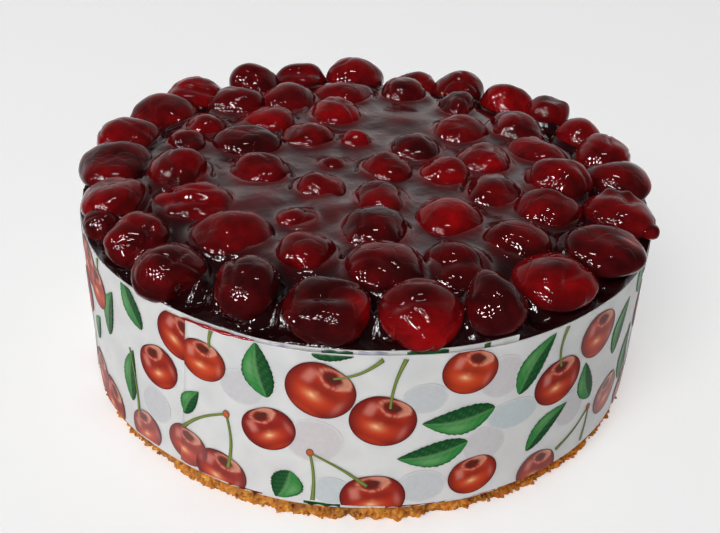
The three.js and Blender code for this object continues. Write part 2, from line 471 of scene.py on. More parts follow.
def cherry_boxes(numbers):
    """Middles and half sizes of several cherries."""
    boxes = [cherry_box(number) for number in numbers]
    return np.array([middle for middle, _ in boxes]), np.array([half for _, half in boxes])


def jelly_flat(x, y):
    """Radius to which the jelly stays level: larger at the back and left, where it fills the gaps."""
    side = math.radians(JELLY_FILL_SIDE)
    facing = (x * math.cos(side) + y * math.sin(side)) / np.maximum(np.hypot(x, y), LEAST_LENGTH)
    return JELLY_FLAT + JELLY_FILL * smooth(facing, *JELLY_FILL_FACING)


def jelly_level(x, y):
    """The jelly's height: flat in the middle, then an S-shaped fall to a level band along the film."""
    fall = smooth(np.hypot(x, y), jelly_flat(x, y), JELLY_BAND)
    return FILM_TOP + JELLY_CROWN + (JELLY_RIM - JELLY_CROWN) * fall


# Cherries

CHERRY_ROWS = 45
CHERRY_COLUMNS = 72
# Stalks: how far they lean off upright, in degrees.
STALK_LEAN = (10, 75)
# Skins: swell, stalk dimple and suture as shares of the half size; widths and the suture's end in radians.
SKIN_SWELL = 1.12
DIMPLE_DEPTH = 0.13
DIMPLE_WIDTH = 0.5
SUTURE_DEPTH = 0.035
SUTURE_WIDTH = 0.3
SUTURE_END = 2.4
# Lumps: height as a share of the half size, wave length on a unit ball, seed step, number of waves.
SKIN_LUMPS = (
    (0.065, 2.4, 0, 8),
    (0.028, 1.2, 30, 8),
    (0.007, 0.7, 50, 10),
    (0.004, 0.42, 70, 12),
)
# Folds run where a set of waves crosses zero; the power makes deep ones rarer.
FOLD_DEPTH = 0.07
FOLD_WIDTH = 0.22
FOLD_LENGTH = 1.7
FOLD_SEED_STEP = 90
FOLD_WAVES = 6
FOLD_POWER = 1.5
# Seeds of one ring's cherries lie this far from the next ring's.
RING_SEED_STEP = 100
# How much wider than their nodes the skins lie, with the glaze on them.
RIM_SPREAD = 1.06
INNER_SPREAD = 1.15
BRIGHT_RED = srgb(136, 13, 17)
DARK_RED = srgb(63, 12, 14)
# Painted light: red of a glow through the flesh; then the dark red of painted shade low by the jelly and of
# darker tops.
PAINTED_GLOW_RED = srgb(196, 10, 14)
DARK_TOP_AND_SHADE_RED = srgb(52, 9, 11)
# Dark reds that the skins turn to at the jelly: the jelly coat's dark red at the waterline, and painted shade
# at the foot, darkest at the rim.
RIM_FOOT = srgb(22, 9, 9)
SECOND_FOOT = srgb(58, 10, 13)
INNER_FOOT = srgb(88, 12, 16)
# Painted shade at the foot: heights over the jelly at a cherry's middle between which its dark foot turns
# red, and how dark the foot is.
FOOT_SHADE = (-2.0, 4.5)
FOOT_DARKNESS = 0.9
# Height over the jelly beside the skin at which the dark waterline is full, and how dark it is.
WATERLINE_LOW = -1.0
WATERLINE_DARKNESS = 0.85
# Cherries that are brighter or darker red than the rest, which take seeded tones in between.
BRIGHT_CHERRIES = (2, 4, 9, 11, 17, 37, 44, 48, 49, 53, 58)
DARK_CHERRIES = (1, 3, 5, 7, 20, 23, 24, 26, 32, 43, 50, 54, 61, 62)
BRIGHT_TONE = 0.82
DARK_TONE = 0.2
OTHER_TONES = (0.3, 0.7)
MOST_TONE = 1.1
# Clouds in the red: strength, wave length in millimetres, seed step.
TONE_CLOUDS = (
    (0.16, 17, 1),
    (0.08, 6, 2),
)
# Seeds of the tones lie this far from those of the shapes.
TONE_SEED_STEP = 1000
# How a skin lies in its node: moved right, back and up in millimetres, then width, depth and height shares.
NODE_FIT = (0.0, 0.0, 0.0, 1.00, 1.00, 1.00)
CHERRY_FITS = {
    1: (0.6, 0.0, -1.2, 0.96, 0.92, 0.78),
    3: (0.0, 0.0, 0.0, 0.82, 0.86, 0.96),
    4: (0.0, 0.0, -2.0, 1.00, 1.00, 0.72),
    5: (0.3, 0.0, 0.8, 1.10, 0.98, 0.66),
    6: (0.0, 0.0, 0.0, 0.82, 0.82, 0.75),
    7: (-1.7, 0.0, -1.0, 1.03, 1.03, 0.75),
    8: (2.5, 0.0, -1.5, 1.00, 1.00, 0.90),
    9: (3.5, 0.0, 0.0, 0.82, 0.85, 0.95),
    10: (5.0, 3.0, 2.0, 0.95, 1.00, 1.00),
    11: (3.0, 0.0, -1.0, 1.04, 1.04, 1.00),
    12: (0.8, 0.0, -1.0, 0.96, 1.00, 1.00),
    13: (5.0, 0.0, -1.0, 1.00, 1.00, 1.00),
    15: (0.0, 0.0, 0.5, 1.05, 1.05, 1.00),
    17: (-3.0, 0.0, 2.5, 1.08, 1.08, 1.00),
    18: (0.0, 0.0, -1.2, 1.15, 1.10, 0.96),
    19: (-3.5, 0.0, -1.0, 1.08, 1.08, 1.00),
    20: (0.0, 0.0, -1.0, 1.22, 1.20, 0.80),
    21: (1.0, 0.0, -2.5, 0.92, 0.92, 0.65),
    22: (0.5, 0.0, 0.0, 0.93, 0.93, 0.93),
    23: (0.0, 0.0, 0.0, 1.02, 1.02, 1.00),
    24: (0.7, 4.0, 1.0, 0.87, 0.87, 0.85),
    25: (1.0, 0.0, 0.0, 0.94, 0.94, 0.82),
    26: (0.6, 0.0, -1.5, 0.93, 0.95, 0.95),
    27: (4.0, 4.0, 1.5, 1.00, 1.00, 0.95),
    28: (1.5, 4.0, 1.5, 0.96, 0.96, 1.00),
    29: (0.0, 0.0, 2.0, 0.92, 0.92, 0.97),
    30: (1.3, 1.0, 0.0, 0.98, 0.98, 0.90),
    32: (-1.0, 0.0, 0.0, 0.70, 0.80, 0.88),
    33: (-2.4, 5.0, 2.5, 0.90, 0.90, 0.95),
    36: (-2.0, 6.0, 3.0, 1.08, 1.08, 1.00),
    37: (0.0, 0.0, 1.5, 0.74, 0.75, 0.75),
    38: (0.4, 5.0, 2.0, 0.67, 0.70, 0.75),
    39: (1.0, 0.0, 1.0, 0.82, 0.85, 0.85),
    40: (2.5, 3.0, -2.0, 0.93, 0.90, 0.64),
    41: (0.0, 3.0, -0.5, 0.93, 0.87, 0.66),
    42: (1.0, 4.0, 2.0, 0.82, 0.85, 0.88),
    43: (0.0, 0.0, 0.0, 0.98, 0.95, 0.95),
    44: (1.6, 4.0, 1.5, 0.88, 0.95, 0.95),
    45: (0.5, 3.0, 1.0, 0.90, 0.95, 0.95),
    46: (-0.6, 0.0, 0.0, 0.80, 0.80, 0.88),
    47: (0.7, 0.0, 0.5, 0.83, 0.83, 0.88),
    48: (1.0, 0.0, 1.3, 0.98, 0.98, 1.00),
    49: (-1.2, 6.0, 2.0, 0.96, 1.00, 1.00),
    50: (0.0, 3.0, 0.0, 0.93, 0.70, 0.68),
    51: (2.0, 1.0, 1.5, 0.91, 0.91, 0.95),
    52: (-0.7, 0.0, 0.0, 0.86, 0.86, 0.78),
    53: (1.7, 6.0, 2.0, 0.87, 0.90, 0.95),
    54: (0.0, 1.0, 1.5, 0.84, 0.85, 0.72),
    55: (0.8, 3.0, 1.5, 0.89, 0.90, 0.92),
    56: (-0.4, 3.0, 1.5, 0.93, 0.93, 0.95),
}
# Dents and creases: cherry, compass angle, height angle, half length and half width on the skin, turn, depth.
# A depth below zero is a knob instead.
CHERRY_DENTS = (
    (1, -120, 66, 0.50, 0.14, 25, 0.08),
    (1, -60, 75, 0.55, 0.30, 0, 0.08),
    (1, -170, 45, 0.50, 0.40, 0, 0.12),
    (1, -35, 58, 0.40, 0.30, 0, 0.12),
    (2, -85, 62, 0.60, 0.20, 70, 0.08),
    (2, -40, 60, 0.45, 0.20, 20, 0.08),
    (2, -165, 48, 0.45, 0.35, 0, 0.10),
    (2, -90, 70, 0.60, 0.13, 10, 0.10),
    (2, -5, 50, 0.40, 0.30, 0, 0.10),
    (4, -70, 55, 0.60, 0.16, 60, 0.10),
    (4, -15, 55, 0.55, 0.16, -25, 0.14),
    (5, -30, 40, 0.60, 0.30, 30, 0.10),
    (5, -90, 84, 0.80, 0.50, 0, 0.12),
    (6, 0, 75, 0.30, 0.20, 0, 0.14),
    (6, 115, 52, 0.26, 0.24, 0, -0.26),
    (6, 60, 58, 0.20, 0.18, 0, -0.20),
    (15, -95, 60, 0.80, 0.22, 12, 0.20),
    (17, -80, 50, 0.80, 0.16, -20, 0.16),
    (17, -40, 75, 0.40, 0.30, 0, 0.12),
    (23, -60, -12, 0.42, 0.42, 0, 0.34),
    (23, -40, 68, 0.45, 0.10, 10, 0.10),
    (22, -80, 75, 0.50, 0.30, 0, 0.08),
    (22, -20, 52, 0.45, 0.11, 35, 0.14),
    (24, 160, 58, 0.50, 0.12, 30, 0.10),
    (26, -90, 72, 0.65, 0.25, 10, 0.14),
    (27, -105, 40, 0.50, 0.45, 0, 0.16),
    (38, -70, 60, 0.50, 0.30, 20, 0.08),
    (39, -60, 45, 0.50, 0.25, 40, 0.12),
    (39, -140, 70, 0.50, 0.30, 0, 0.10),
    (40, -90, 62, 0.80, 0.22, 0, 0.16),
    (41, -60, 58, 0.70, 0.32, 15, 0.14),
    (41, -150, 50, 0.50, 0.30, -25, 0.12),
)
# Painted light: places painted with a red glow through the flesh: cherry, compass angle, height angle, half
# sizes, turn, strength.
# A strength below zero paints a darker place instead: painted shade low at the front by the jelly, and darker
# tops.
PAINTED_GLOWS_AND_SHADES = (
    (1, -22, 20, 0.30, 0.35, 0, 0.8),
    (2, -65, -4, 0.5, 0.45, 0, 0.55),
    (4, -65, 30, 0.5, 0.4, 0, 0.5),
    (44, -90, 40, 0.5, 0.5, 0, 0.6),
    (11, -120, 40, 0.6, 0.5, 0, 0.6),
    (48, -90, 45, 0.5, 0.4, 0, 0.5),
    (49, -90, 45, 0.5, 0.4, 0, 0.4),
    (46, -80, 35, 0.5, 0.4, 0, 0.4),
    (53, -80, 35, 0.5, 0.4, 0, 0.4),
    (5, -12, 28, 0.22, 0.2, 0, 0.9),
    (7, -8, 5, 0.25, 0.5, 0, 0.7),
    (8, -8, 10, 0.25, 0.5, 0, 0.6),
    (2, -95, 78, 0.8, 0.5, 0, -0.9),
    (4, -110, 82, 0.7, 0.5, 0, -0.8),
    (1, -100, 60, 0.8, 0.7, 0, -0.6),
    (11, 90, 80, 0.6, 0.5, 0, -0.5),
    (1, -100, -8, 0.9, 0.45, 0, -0.95),
    (3, -90, -8, 0.9, 0.45, 0, -0.9),
    (4, -80, -8, 0.9, 0.42, 0, -0.85),
    (5, -70, -8, 0.9, 0.42, 0, -0.8),
    (22, -120, -8, 0.9, 0.42, 0, -0.8),
    (23, -110, -8, 0.9, 0.45, 0, -0.9),
    (24, -105, -8, 0.9, 0.45, 0, -0.9),
)
# Cosine to a dent's middle over which the dent fades in, so that it stays on its own side.
DENT_FADE = 0.3


def stalk_frames(rng, copies):
    """Turns that carry the z axis to seeded stalk directions, each leaning off upright, and spin about it."""
    lean = np.radians(rng.uniform(*STALK_LEAN, copies))
    way = rng.uniform(0, TURN, copies)
    spin = rng.uniform(0, TURN, copies)
    return [
        Matrix.Rotation(round_up, 3, "Z") @ Matrix.Rotation(down, 3, "Y") @ Matrix.Rotation(twist, 3, "Z")
        for round_up, down, twist in zip(way, lean, spin)
    ]


def dent(directions, dent_row):
    """Depth of one dent: an oval bell curve round a direction, measured along the skin."""
    _, compass, height, half_length, half_width, turn, depth = dent_row
    compass, height, turn = np.radians([compass, height, turn])
    flat = math.cos(height)
    out = np.array([math.cos(compass) * flat, math.sin(compass) * flat, math.sin(height)])
    side = np.array([-math.sin(compass), math.cos(compass), 0])
    over = np.cross(out, side)
    along = math.cos(turn) * side + math.sin(turn) * over
    across = -math.sin(turn) * side + math.cos(turn) * over
    fall = spot(directions @ along, directions @ across, (0, 0), (half_length, half_width))
    return depth * fall * smooth(directions @ out, 0, DENT_FADE)


def cherry_skins(numbers, middles, halves, seed):
    """Points of several cherries: squashed balls with a stalk dimple, suture, lumps, folds and own dents."""
    rng = np.random.default_rng(seed)
    ball, polar, around = unit_ball(CHERRY_ROWS, CHERRY_COLUMNS)
    dimple = DIMPLE_DEPTH * bell(polar, 0, DIMPLE_WIDTH)
    aside = np.minimum(around, TURN - around)
    suture = SUTURE_DEPTH * bell(aside, 0, SUTURE_WIDTH) * np.sin(polar) * (polar < SUTURE_END)
    skins = []
    frames = stalk_frames(rng, len(numbers))
    folding = rng.uniform(0, 1, len(numbers)) ** FOLD_POWER
    for number, middle, half, turn, folded in zip(numbers, middles, halves, frames, folding):
        directions = ball @ np.array(turn).T
        own_seed = seed * RING_SEED_STEP + number
        reach = SKIN_SWELL - dimple - suture
        for lump, length, step, waves in SKIN_LUMPS:
            reach = reach + lump * ripples(directions, length, own_seed + step, waves)
        folds = ripples(directions, FOLD_LENGTH, own_seed + FOLD_SEED_STEP, FOLD_WAVES)
        reach = reach - FOLD_DEPTH * folded * bell(folds, 0, FOLD_WIDTH)
        for row in CHERRY_DENTS:
            if row[0] == number:
                reach = reach - dent(directions, row)
        skins.append(middle + half * directions * reach[..., None])
    return np.array(skins)


def cherry_colours(skins, numbers, seed, waterline, foot):
    """Reds of the skins: each cherry's own tone, clouded, with painted glows and dark places, and darker
    towards and under the jelly, with painted shade at the foot.
    """
    rng = np.random.default_rng(seed)
    tones = rng.uniform(*OTHER_TONES, len(numbers))
    tones = np.where(np.isin(numbers, BRIGHT_CHERRIES), BRIGHT_TONE, tones)
    tones = np.where(np.isin(numbers, DARK_CHERRIES), DARK_TONE, tones)
    clouds = sum(strength * ripples(skins, length, seed + step) for strength, length, step in TONE_CLOUDS)
    clouded = np.clip(tones[:, None, None] + clouds, 0, MOST_TONE)
    colours = DARK_RED + (BRIGHT_RED - DARK_RED) * clouded[..., None]
    # Painted light and shade: glows through the flesh brighten the red, rows below zero darken it.
    for number, *painted_mark in PAINTED_GLOWS_AND_SHADES:
        if number in numbers:
            index = numbers.index(number)
            outward = skins[index] - skins[index].mean((0, 1))
            outward = outward / np.linalg.norm(outward, axis=-1, keepdims=True)
            colour = PAINTED_GLOW_RED if painted_mark[-1] > 0 else DARK_TOP_AND_SHADE_RED
            colours[index] = mix(colours[index], colour, np.abs(dent(outward, (number, *painted_mark))))
    above = skins[..., 2] - jelly_level(skins[..., 0], skins[..., 1])
    middles = skins.mean((1, 2))
    over_foot = skins[..., 2] - jelly_level(middles[:, 0], middles[:, 1])[:, None, None]
    at_waterline = WATERLINE_DARKNESS * (1 - smooth(above, WATERLINE_LOW, waterline))
    # Painted shade at the foot: darker where the skin lies low against the jelly level at the cherry's
    # middle.
    painted_foot_shade = FOOT_DARKNESS * (1 - smooth(over_foot, *FOOT_SHADE))
    return mix(colours, foot, np.maximum(at_waterline, painted_foot_shade))


def make_cherries(name, numbers, material, seed, waterline, foot):
    """One ring of cherries as one piece; waterline is how far above the jelly their red is full."""
    middles, halves = cherry_boxes(numbers)
    skins = cherry_skins(numbers, middles, halves, seed)
    colours = cherry_colours(skins, numbers, seed + TONE_SEED_STEP, waterline, foot)
    size = CHERRY_ROWS * CHERRY_COLUMNS
    quads = repeat_quads(grid_quads(CHERRY_ROWS, CHERRY_COLUMNS, True), size, len(numbers))[:, ::-1]
    uv = cell_uv(grid_corner_uv(CHERRY_ROWS, CHERRY_COLUMNS, True)[:, ::-1], len(numbers))
    mesh = fill_mesh(name, skins, quads, colours, uv)
    merge_doubles(mesh)
    replaced = [node_name(number) for number in numbers if number not in EXTRA_CHERRIES]
    return add_piece(mesh, material, replaced)


# Jelly

JELLY_ROWS = 165
JELLY_COLUMNS = 570
# Power that spreads the rings over the radius, and share of the radius at which the crisp outer edge begins.
JELLY_SPREAD = 0.9
JELLY_EDGE = 0.9985
JELLY_DARK = srgb(60, 14, 19)
# Near black red of the painted shade in the jelly's slits and crevices.
JELLY_SHADE_BLACK = srgb(26, 7, 9)
JELLY_RED = srgb(106, 11, 15)
SMEAR_RED = srgb(150, 8, 18)
# Radii between which the rim cherries' belt begins, and between which the strip along the film begins.
RIM_BELT = (76.0, 94.0)
FILM_STRIP = (97.0, 106.0)
# How the jelly climbs a cherry: least height, share of the half height past its middle, losses further out.
LEAST_CLIMB = 1.8
CLIMB_SHARE = 0.28
RIM_CLIMB_LOSS = 0.15
STRIP_CLIMB_LOSS = 0.8
# Highest share of a cherry's half height at which the jelly may meet it.
MOST_MEETING = 0.95
# A climb is a steep foot and a flat foot: their widths, the steep one's share, and what changes in the belt.
STEEP_FOOT = 1.1
FLAT_FOOT = 5.5
RIM_FOOT_LOSS = 1.5
STEEP_SHARE = 0.4
RIM_STEEP_GAIN = 0.2
# Slits behind the cherries, sunk and painted near black as painted shade: how far off straight behind,
# distance off the skin, half width, facing, depth.
SLIT_SEED = 29
SLIT_TURN = 75
SLIT_GAP = 1.0
SLIT_WIDTH = 0.6
SLIT_FACING = (0.76, 0.92)
SLIT_DEPTH = 2.0
# Red of the jelly near the cherries: how fast it fades, and its loss along the film.
RED_POWER = 1.5
STRIP_RED_LOSS = 0.7
# Humps over the cherries that are covered whole.
HUMP_HEIGHT = 2.2
HUMP_RED = 0.6
# Ripples of the surface: height, gain along the film, wave length, seed.
JELLY_RIPPLES = (
    (0.06, 0.16, 9, 71),
    (0.01, 0.06, 3.6, 72),
)
# Clouds in the red: strength, wave length, seed.
RED_CLOUDS = (0.12, 14, 73)
# Painted shade: where the jelly darkens between the outer rings and on out to the film, and how far.
CREVICE_LEAD = 14.0
CREVICE_END = 93.0
CREVICE_SHADE = 0.9


def jelly_heights(x, y):
    """Height, redness and painted shade of the jelly: its level, feet up the cherries, slits behind, humps;
    the shade is near black in slits and crevices.
    """
    numbers = [*RIM_RING, *SECOND_RING, *INNER_RINGS, *EXTRA_CHERRIES]
    middles, halves = cherry_boxes(numbers)
    rng = np.random.default_rng(SLIT_SEED)
    slit_ways = np.radians(90 + rng.uniform(-SLIT_TURN, SLIT_TURN, len(numbers)))
    level = jelly_level(x, y)
    radius = np.hypot(x, y)
    outer = smooth(radius, *FILM_STRIP)
    rim = smooth(radius, *RIM_BELT)
    steep = STEEP_SHARE + RIM_STEEP_GAIN * rim
    flat_foot = FLAT_FOOT - RIM_FOOT_LOSS * rim
    # Feet that meet are joined by the cube root of the sum of their cubes, close to the higher one.
    feet = np.zeros_like(x)
    nearness = np.zeros_like(x)
    slits = np.zeros_like(x)
    for middle, half, way in zip(middles, SKIN_SWELL * halves, slit_ways):
        right, back = x - middle[0], y - middle[1]
        share = np.hypot(right / half[0], back / half[1])
        lift = (CLIMB_SHARE - RIM_CLIMB_LOSS * rim) * half[2]
        climb = np.maximum(middle[2] + lift - level, LEAST_CLIMB) * (1 - STRIP_CLIMB_LOSS * outer)
        meeting = np.clip((level + climb - middle[2]) / half[2], 0, MOST_MEETING)
        gap = (share - np.sqrt(1 - meeting**2)) * half[0]
        outside = np.maximum(gap, 0)
        foot = steep * np.exp(-outside / STEEP_FOOT) + (1 - steep) * np.exp(-outside / flat_foot)
        feet += (climb * foot) ** 3
        nearness = np.maximum(nearness, foot)
        away = np.maximum(np.hypot(right, back), LEAST_LENGTH)
        facing = (right * math.cos(way) + back * math.sin(way)) / away
        slits = np.maximum(slits, bell(gap, SLIT_GAP, SLIT_WIDTH) * smooth(facing, *SLIT_FACING))
    slits = slits * (1 - outer)
    height = level + np.cbrt(feet) - SLIT_DEPTH * slits
    redness = nearness**RED_POWER * (1 - STRIP_RED_LOSS * outer)
    for across, back, half in SUNK_CHERRIES:
        hump = spot(x, y, (across, back), (half, half))
        height = height + HUMP_HEIGHT * hump
        redness = redness + HUMP_RED * hump**2
    place = np.stack([x, y], -1)
    for tall, gain, length, seed in JELLY_RIPPLES:
        height = height + (tall + gain * outer) * ripples(place, length, seed)
    strength, length, seed = RED_CLOUDS
    redness = np.clip(redness + strength * ripples(place, length, seed), 0, 1)
    crevice = smooth(radius, jelly_flat(x, y) - CREVICE_LEAD, CREVICE_END)
    # The third value is painted shade, near black in the slits and the crevices.
    return height, redness, np.maximum(slits, CREVICE_SHADE * crevice)


def make_jelly(material):
    """The jelly as a disc of rings out to the film: its shaped top, a crisp edge and a flat underside."""
    inner = np.linspace(0, 1, JELLY_ROWS - 1)
    around = np.linspace(0, TURN, JELLY_COLUMNS, endpoint=False)
    radius = np.append(JELLY_EDGE * inner**JELLY_SPREAD, 1)[:, None] * film_inside(around)
    x = radius * np.cos(around)
    y = radius * np.sin(around)
    height, redness, painted_shade = jelly_heights(x, y)
    top = np.stack([x, y, height], -1)
    edge = np.stack([x[-1], y[-1], np.full(JELLY_COLUMNS, JELLY_UNDERSIDE)], -1)
    under = np.stack([x[0], y[0], np.full(JELLY_COLUMNS, JELLY_UNDERSIDE)], -1)
    points = np.concatenate([top, edge[None], under[None]])
    top_colours = mix(np.broadcast_to(JELLY_DARK, top.shape), JELLY_RED, redness)
    # Painted shade: slits and crevices turn near black.
    top_colours = mix(top_colours, JELLY_SHADE_BLACK, painted_shade)
    colours = np.concatenate([top_colours, top_colours[-1:], top_colours[:1]])
    rows = JELLY_ROWS + 2
    uv = grid_corner_uv(rows, JELLY_COLUMNS, True)
    mesh = fill_mesh("jelly_top", points, grid_quads(rows, JELLY_COLUMNS, True), colours, uv)
    merge_doubles(mesh)
    return add_piece(mesh, material, ["jelly"])


# Smear on the film's top edge: compass angles of its ends, grid, half width, taper, waver, and how it sits.
SMEAR_FROM = -121.0
SMEAR_TO = -107.0
SMEAR_ROWS = 60
SMEAR_COLUMNS = 12
SMEAR_HALF = 0.55
SMEAR_TAPER = 0.4
SMEAR_WAVER = 0.2
SMEAR_WAVES = 23
SMEAR_LIFT = 0.25


def make_smear(material):
    """Jelly smeared along the film's top edge: a round bead on the edge, thin at both ends."""
    part = np.linspace(0, 1, SMEAR_ROWS)[:, None]
    around = np.linspace(0, TURN, SMEAR_COLUMNS, endpoint=False)[None]
    part, around = np.broadcast_arrays(part, around)
    along = (SMEAR_FROM + (SMEAR_TO - SMEAR_FROM) * part - FILM_START) * FILM_TURN_LENGTH / 360
    half = SMEAR_HALF * np.sin(math.pi * part) ** SMEAR_TAPER * (1 + SMEAR_WAVER * np.sin(SMEAR_WAVES * part))
    height = film_edges(along)[1] + SMEAR_LIFT + half * np.sin(around)
    points = onto_film(along, height, half * np.cos(around) - SMEAR_LIFT)
    colours = np.broadcast_to(SMEAR_RED, points.shape)
    mesh = fill_mesh("jelly_smear", points, grid_quads(SMEAR_ROWS, SMEAR_COLUMNS, True)[:, ::-1], colours)
    merge_doubles(mesh)
    return add_piece(mesh, material)


# Film collar

# Grid of the strip: length of a step, rows on a face, and share of the height at which its crisp edges begin.
FILM_STEP = 2.0
FILM_ROWS = 14
FILM_EDGE = 0.003
# Waves of the strip: height, wave length, seed.
FILM_WAVES = (
    (0.12, 60, 81),
    (0.05, 22, 82),
)
# Turns of the strip between which its lower edge comes down, and between which it goes up again.
HANG_FALL = (0.76, 0.86)
HANG_RISE = (1.0, 0.9)
# Length over which the strip grows wider before it goes under its outer end.
SPARE_RUN = 60.0
# Waver of the upper edge: height, length of a radian, phase; and the lower edge's share of it.
EDGE_WAVER = (
    (0.25, 31, 0),
    (0.15, 11, 2),
)
LOWER_WAVER = 0.5


def film_wave(along, height):
    """How far the film stands off its even winding: long shallow waves."""
    place = np.stack([along, height], -1)
    return sum(tall * ripples(place, length, seed) for tall, length, seed in FILM_WAVES)


def film_outside(along, height):
    """Radius of the strip's outer face at places measured along it and upwards."""
    along, height = np.broadcast_arrays(along, height)
    return FILM_RADIUS - FILM_PITCH * along / FILM_TURN_LENGTH + film_wave(along, height)


def onto_film(along, height, lift):
    """Wraps places on the flat strip, measured along it and upwards, round the cake."""
    angle = math.radians(FILM_START) + along / FILM_TURN_LENGTH * TURN
    return round_cake(film_outside(along, height) + lift, angle, height)


def film_start(height):
    """Where the strip's outer end is: a slanted cut that reaches furthest at the foot."""
    return -FILM_END_SLANT * (FILM_TOP - height) / (FILM_TOP - FILM_BOTTOM)


def film_inside(angle):
    """Radius of the film's innermost face near its top, at compass angles in radians."""
    turn = (angle / TURN - FILM_START / 360) % 1
    layer = turn + (turn < FILM_OVERLAP / 360)
    return film_outside(layer * FILM_TURN_LENGTH, FILM_TOP) - FILM_THICKNESS


def film_hang(along):
    """How far the strip's lower edge hangs down over the crust: most at the cake's left."""
    turn = along / FILM_TURN_LENGTH
    return FILM_HANG * smooth(turn, *HANG_FALL) * smooth(turn, *HANG_RISE)


def film_edges(along):
    """Lower and upper edge of the strip: nearly straight, a little wider on the stretch under its end."""
    spare = FILM_INNER_SPARE * smooth(along, FILM_TURN_LENGTH - SPARE_RUN, FILM_TURN_LENGTH)
    waver = sum(tall * np.sin(along / radian + phase) for tall, radian, phase in EDGE_WAVER)
    return FILM_BOTTOM - film_hang(along) - spare + LOWER_WAVER * waver, FILM_TOP + spare + waver


def make_film(material):
    """The strip as a thin closed section carried along the winding: up its outer face and down its inner."""
    columns = int(FILM_LENGTH / FILM_STEP)
    part = np.linspace(0, 1, columns)[:, None]
    rise = np.concatenate([[0], np.linspace(FILM_EDGE, 1 - FILM_EDGE, FILM_ROWS - 2), [1]])
    section = np.concatenate([rise, rise[::-1]])[None]
    lift = np.concatenate([np.zeros(FILM_ROWS), np.full(FILM_ROWS, -FILM_THICKNESS)])[None]
    low, high = film_edges(part * FILM_LENGTH)
    height = low + (high - low) * section
    start = film_start(height)
    along = start + (FILM_LENGTH - start) * part
    points = onto_film(along, height, lift)
    quads = grid_quads(columns, 2 * FILM_ROWS, True)
    strip = np.arange(FILM_ROWS - 1)
    cap = np.stack([strip, strip + 1, 2 * FILM_ROWS - 2 - strip, 2 * FILM_ROWS - 1 - strip], -1)
    last = (columns - 1) * 2 * FILM_ROWS
    quads = np.concatenate([quads, cap, last + cap[:, ::-1]])
    mesh = fill_mesh("film_collar", points, quads)
    merge_doubles(mesh)
    return add_piece(mesh, material, ["film"])


# Print on the film: cherries, leaves, stalks and pale shadows of them

PRINT_REPEAT = 210.0
INK_THICKNESS = 0.06
OUTLINE = srgb(52, 9, 11)
ORANGE = srgb(196, 58, 12)
RED = srgb(152, 13, 9)
DEEP_RED = srgb(94, 5, 9)
PINK = srgb(208, 128, 114)
GLINT = srgb(248, 190, 136)
CREAM = srgb(212, 142, 116)
HOLLOW = srgb(92, 30, 18)
FILM_WHITE = srgb(210, 210, 209)
LEAF_DARK = srgb(4, 74, 30)
LEAF_LIGHT = srgb(34, 124, 52)
LEAF_PALE = srgb(122, 172, 112)
SHADOW_PINK = srgb(199, 193, 195)
SHADOW_BLUE = srgb(186, 195, 198)
STALK = srgb(120, 136, 58)
STALK_EDGE = srgb(58, 74, 32)
KNOT = srgb(190, 84, 44)

# Printed cherries: along the strip, height, width, stalk side (degrees clockwise from up), warmth, paleness.
PRINT_CHERRIES = (
    (-25, 12, 17, -20, 0.3, 0.12),
    (-15, 44, 19, -25, 0.4, 0.0),
    (-4, 61, 19, 30, 0.3, 0.0),
    (5.8, 56, 17.5, 5, 1.0, 0.0),
    (-3, 16, 18, 10, 0.3, 0.08),
    (11, 11, 20, 20, 0.2, 0.03),
    (29, 36, 19, -30, 0.2, 0.0),
    (46, 55, 23, 35, 0.5, 0.0),
    (66, 44, 22, 25, 0.4, 0.0),
    (64, 11, 22, -10, 0.4, 0.0),
    (93, 61, 19, 20, 1.0, 0.0),
    (98, 17, 18, -10, 0.8, 0.0),
    (125, 9, 18, 15, 0.2, 0.08),
    (129, 46, 21, 0, 0.4, 0.0),
    (148, 57, 20, 10, 0.5, 0.06),
    (163, 23, 18, -15, 0.4, 0.16),
)
# Printed leaves: along the strip, height, length, width, turn of the tip (degrees counter-clockwise).
PRINT_LEAVES = (
    (-44, 51, 22, 9, 70),
    (-27, 64, 20, 10, 120),
    (-31, 32, 24, 9, 80),
    (0, 36, 14, 7, 60),
    (27, 59, 21, 11, 100),
    (34, 13, 14, 12, 250),
    (91, 43, 25, 12, 185),
    (83, 30, 24, 11, 190),
    (118, 57, 24, 10, 60),
    (127, 27, 22, 9, 40),
    (146, 38, 20, 9, 110),
    (52, 70, 18, 9, 10),
)
# Printed stalks: from (along, height) to (along, height), and how far the middle bows to the left.
PRINT_STALKS = (
    ((50, 60), (65, 68), -1.5),
    ((68, 49), (72, 68), 1.0),
    ((129, 52), (129, 68), 1.5),
    ((9, 62), (10, 69), 0.5),
    ((14, 37), (-4, 24), -1.5),
    ((14, 37), (14, 14), 1.5),
    ((43, 29), (44, 8), 0.8),
    ((43, 29), (62, 16), 0.8),
    ((150, 24), (134, 13), 0.8),
    ((150, 24), (149, 9), 0.5),
    ((-31, 44), (-29, 17), 1.0),
)
# Knots where stalks meet: along the strip, height.
PRINT_KNOTS = ((14, 37), (43, 29), (150, 24))
# Pale shadows: along the strip, height, width, height of the oval, how blue.
PRINT_SHADOWS = (
    (44, 34, 20, 18, 0.0),
    (20, 50, 16, 14, 0.3),
    (50, 13, 14, 12, 0.8),
    (111, 39, 20, 12, 1.0),
    (101, 29, 16, 15, 0.2),
    (80, 15, 17, 14, 0.5),
    (105, 56, 17, 17, 0.1),
    (79, 52, 15, 12, 0.6),
    (-18, 26, 15, 15, 0.4),
    (138, 30, 15, 15, 0.2),
)
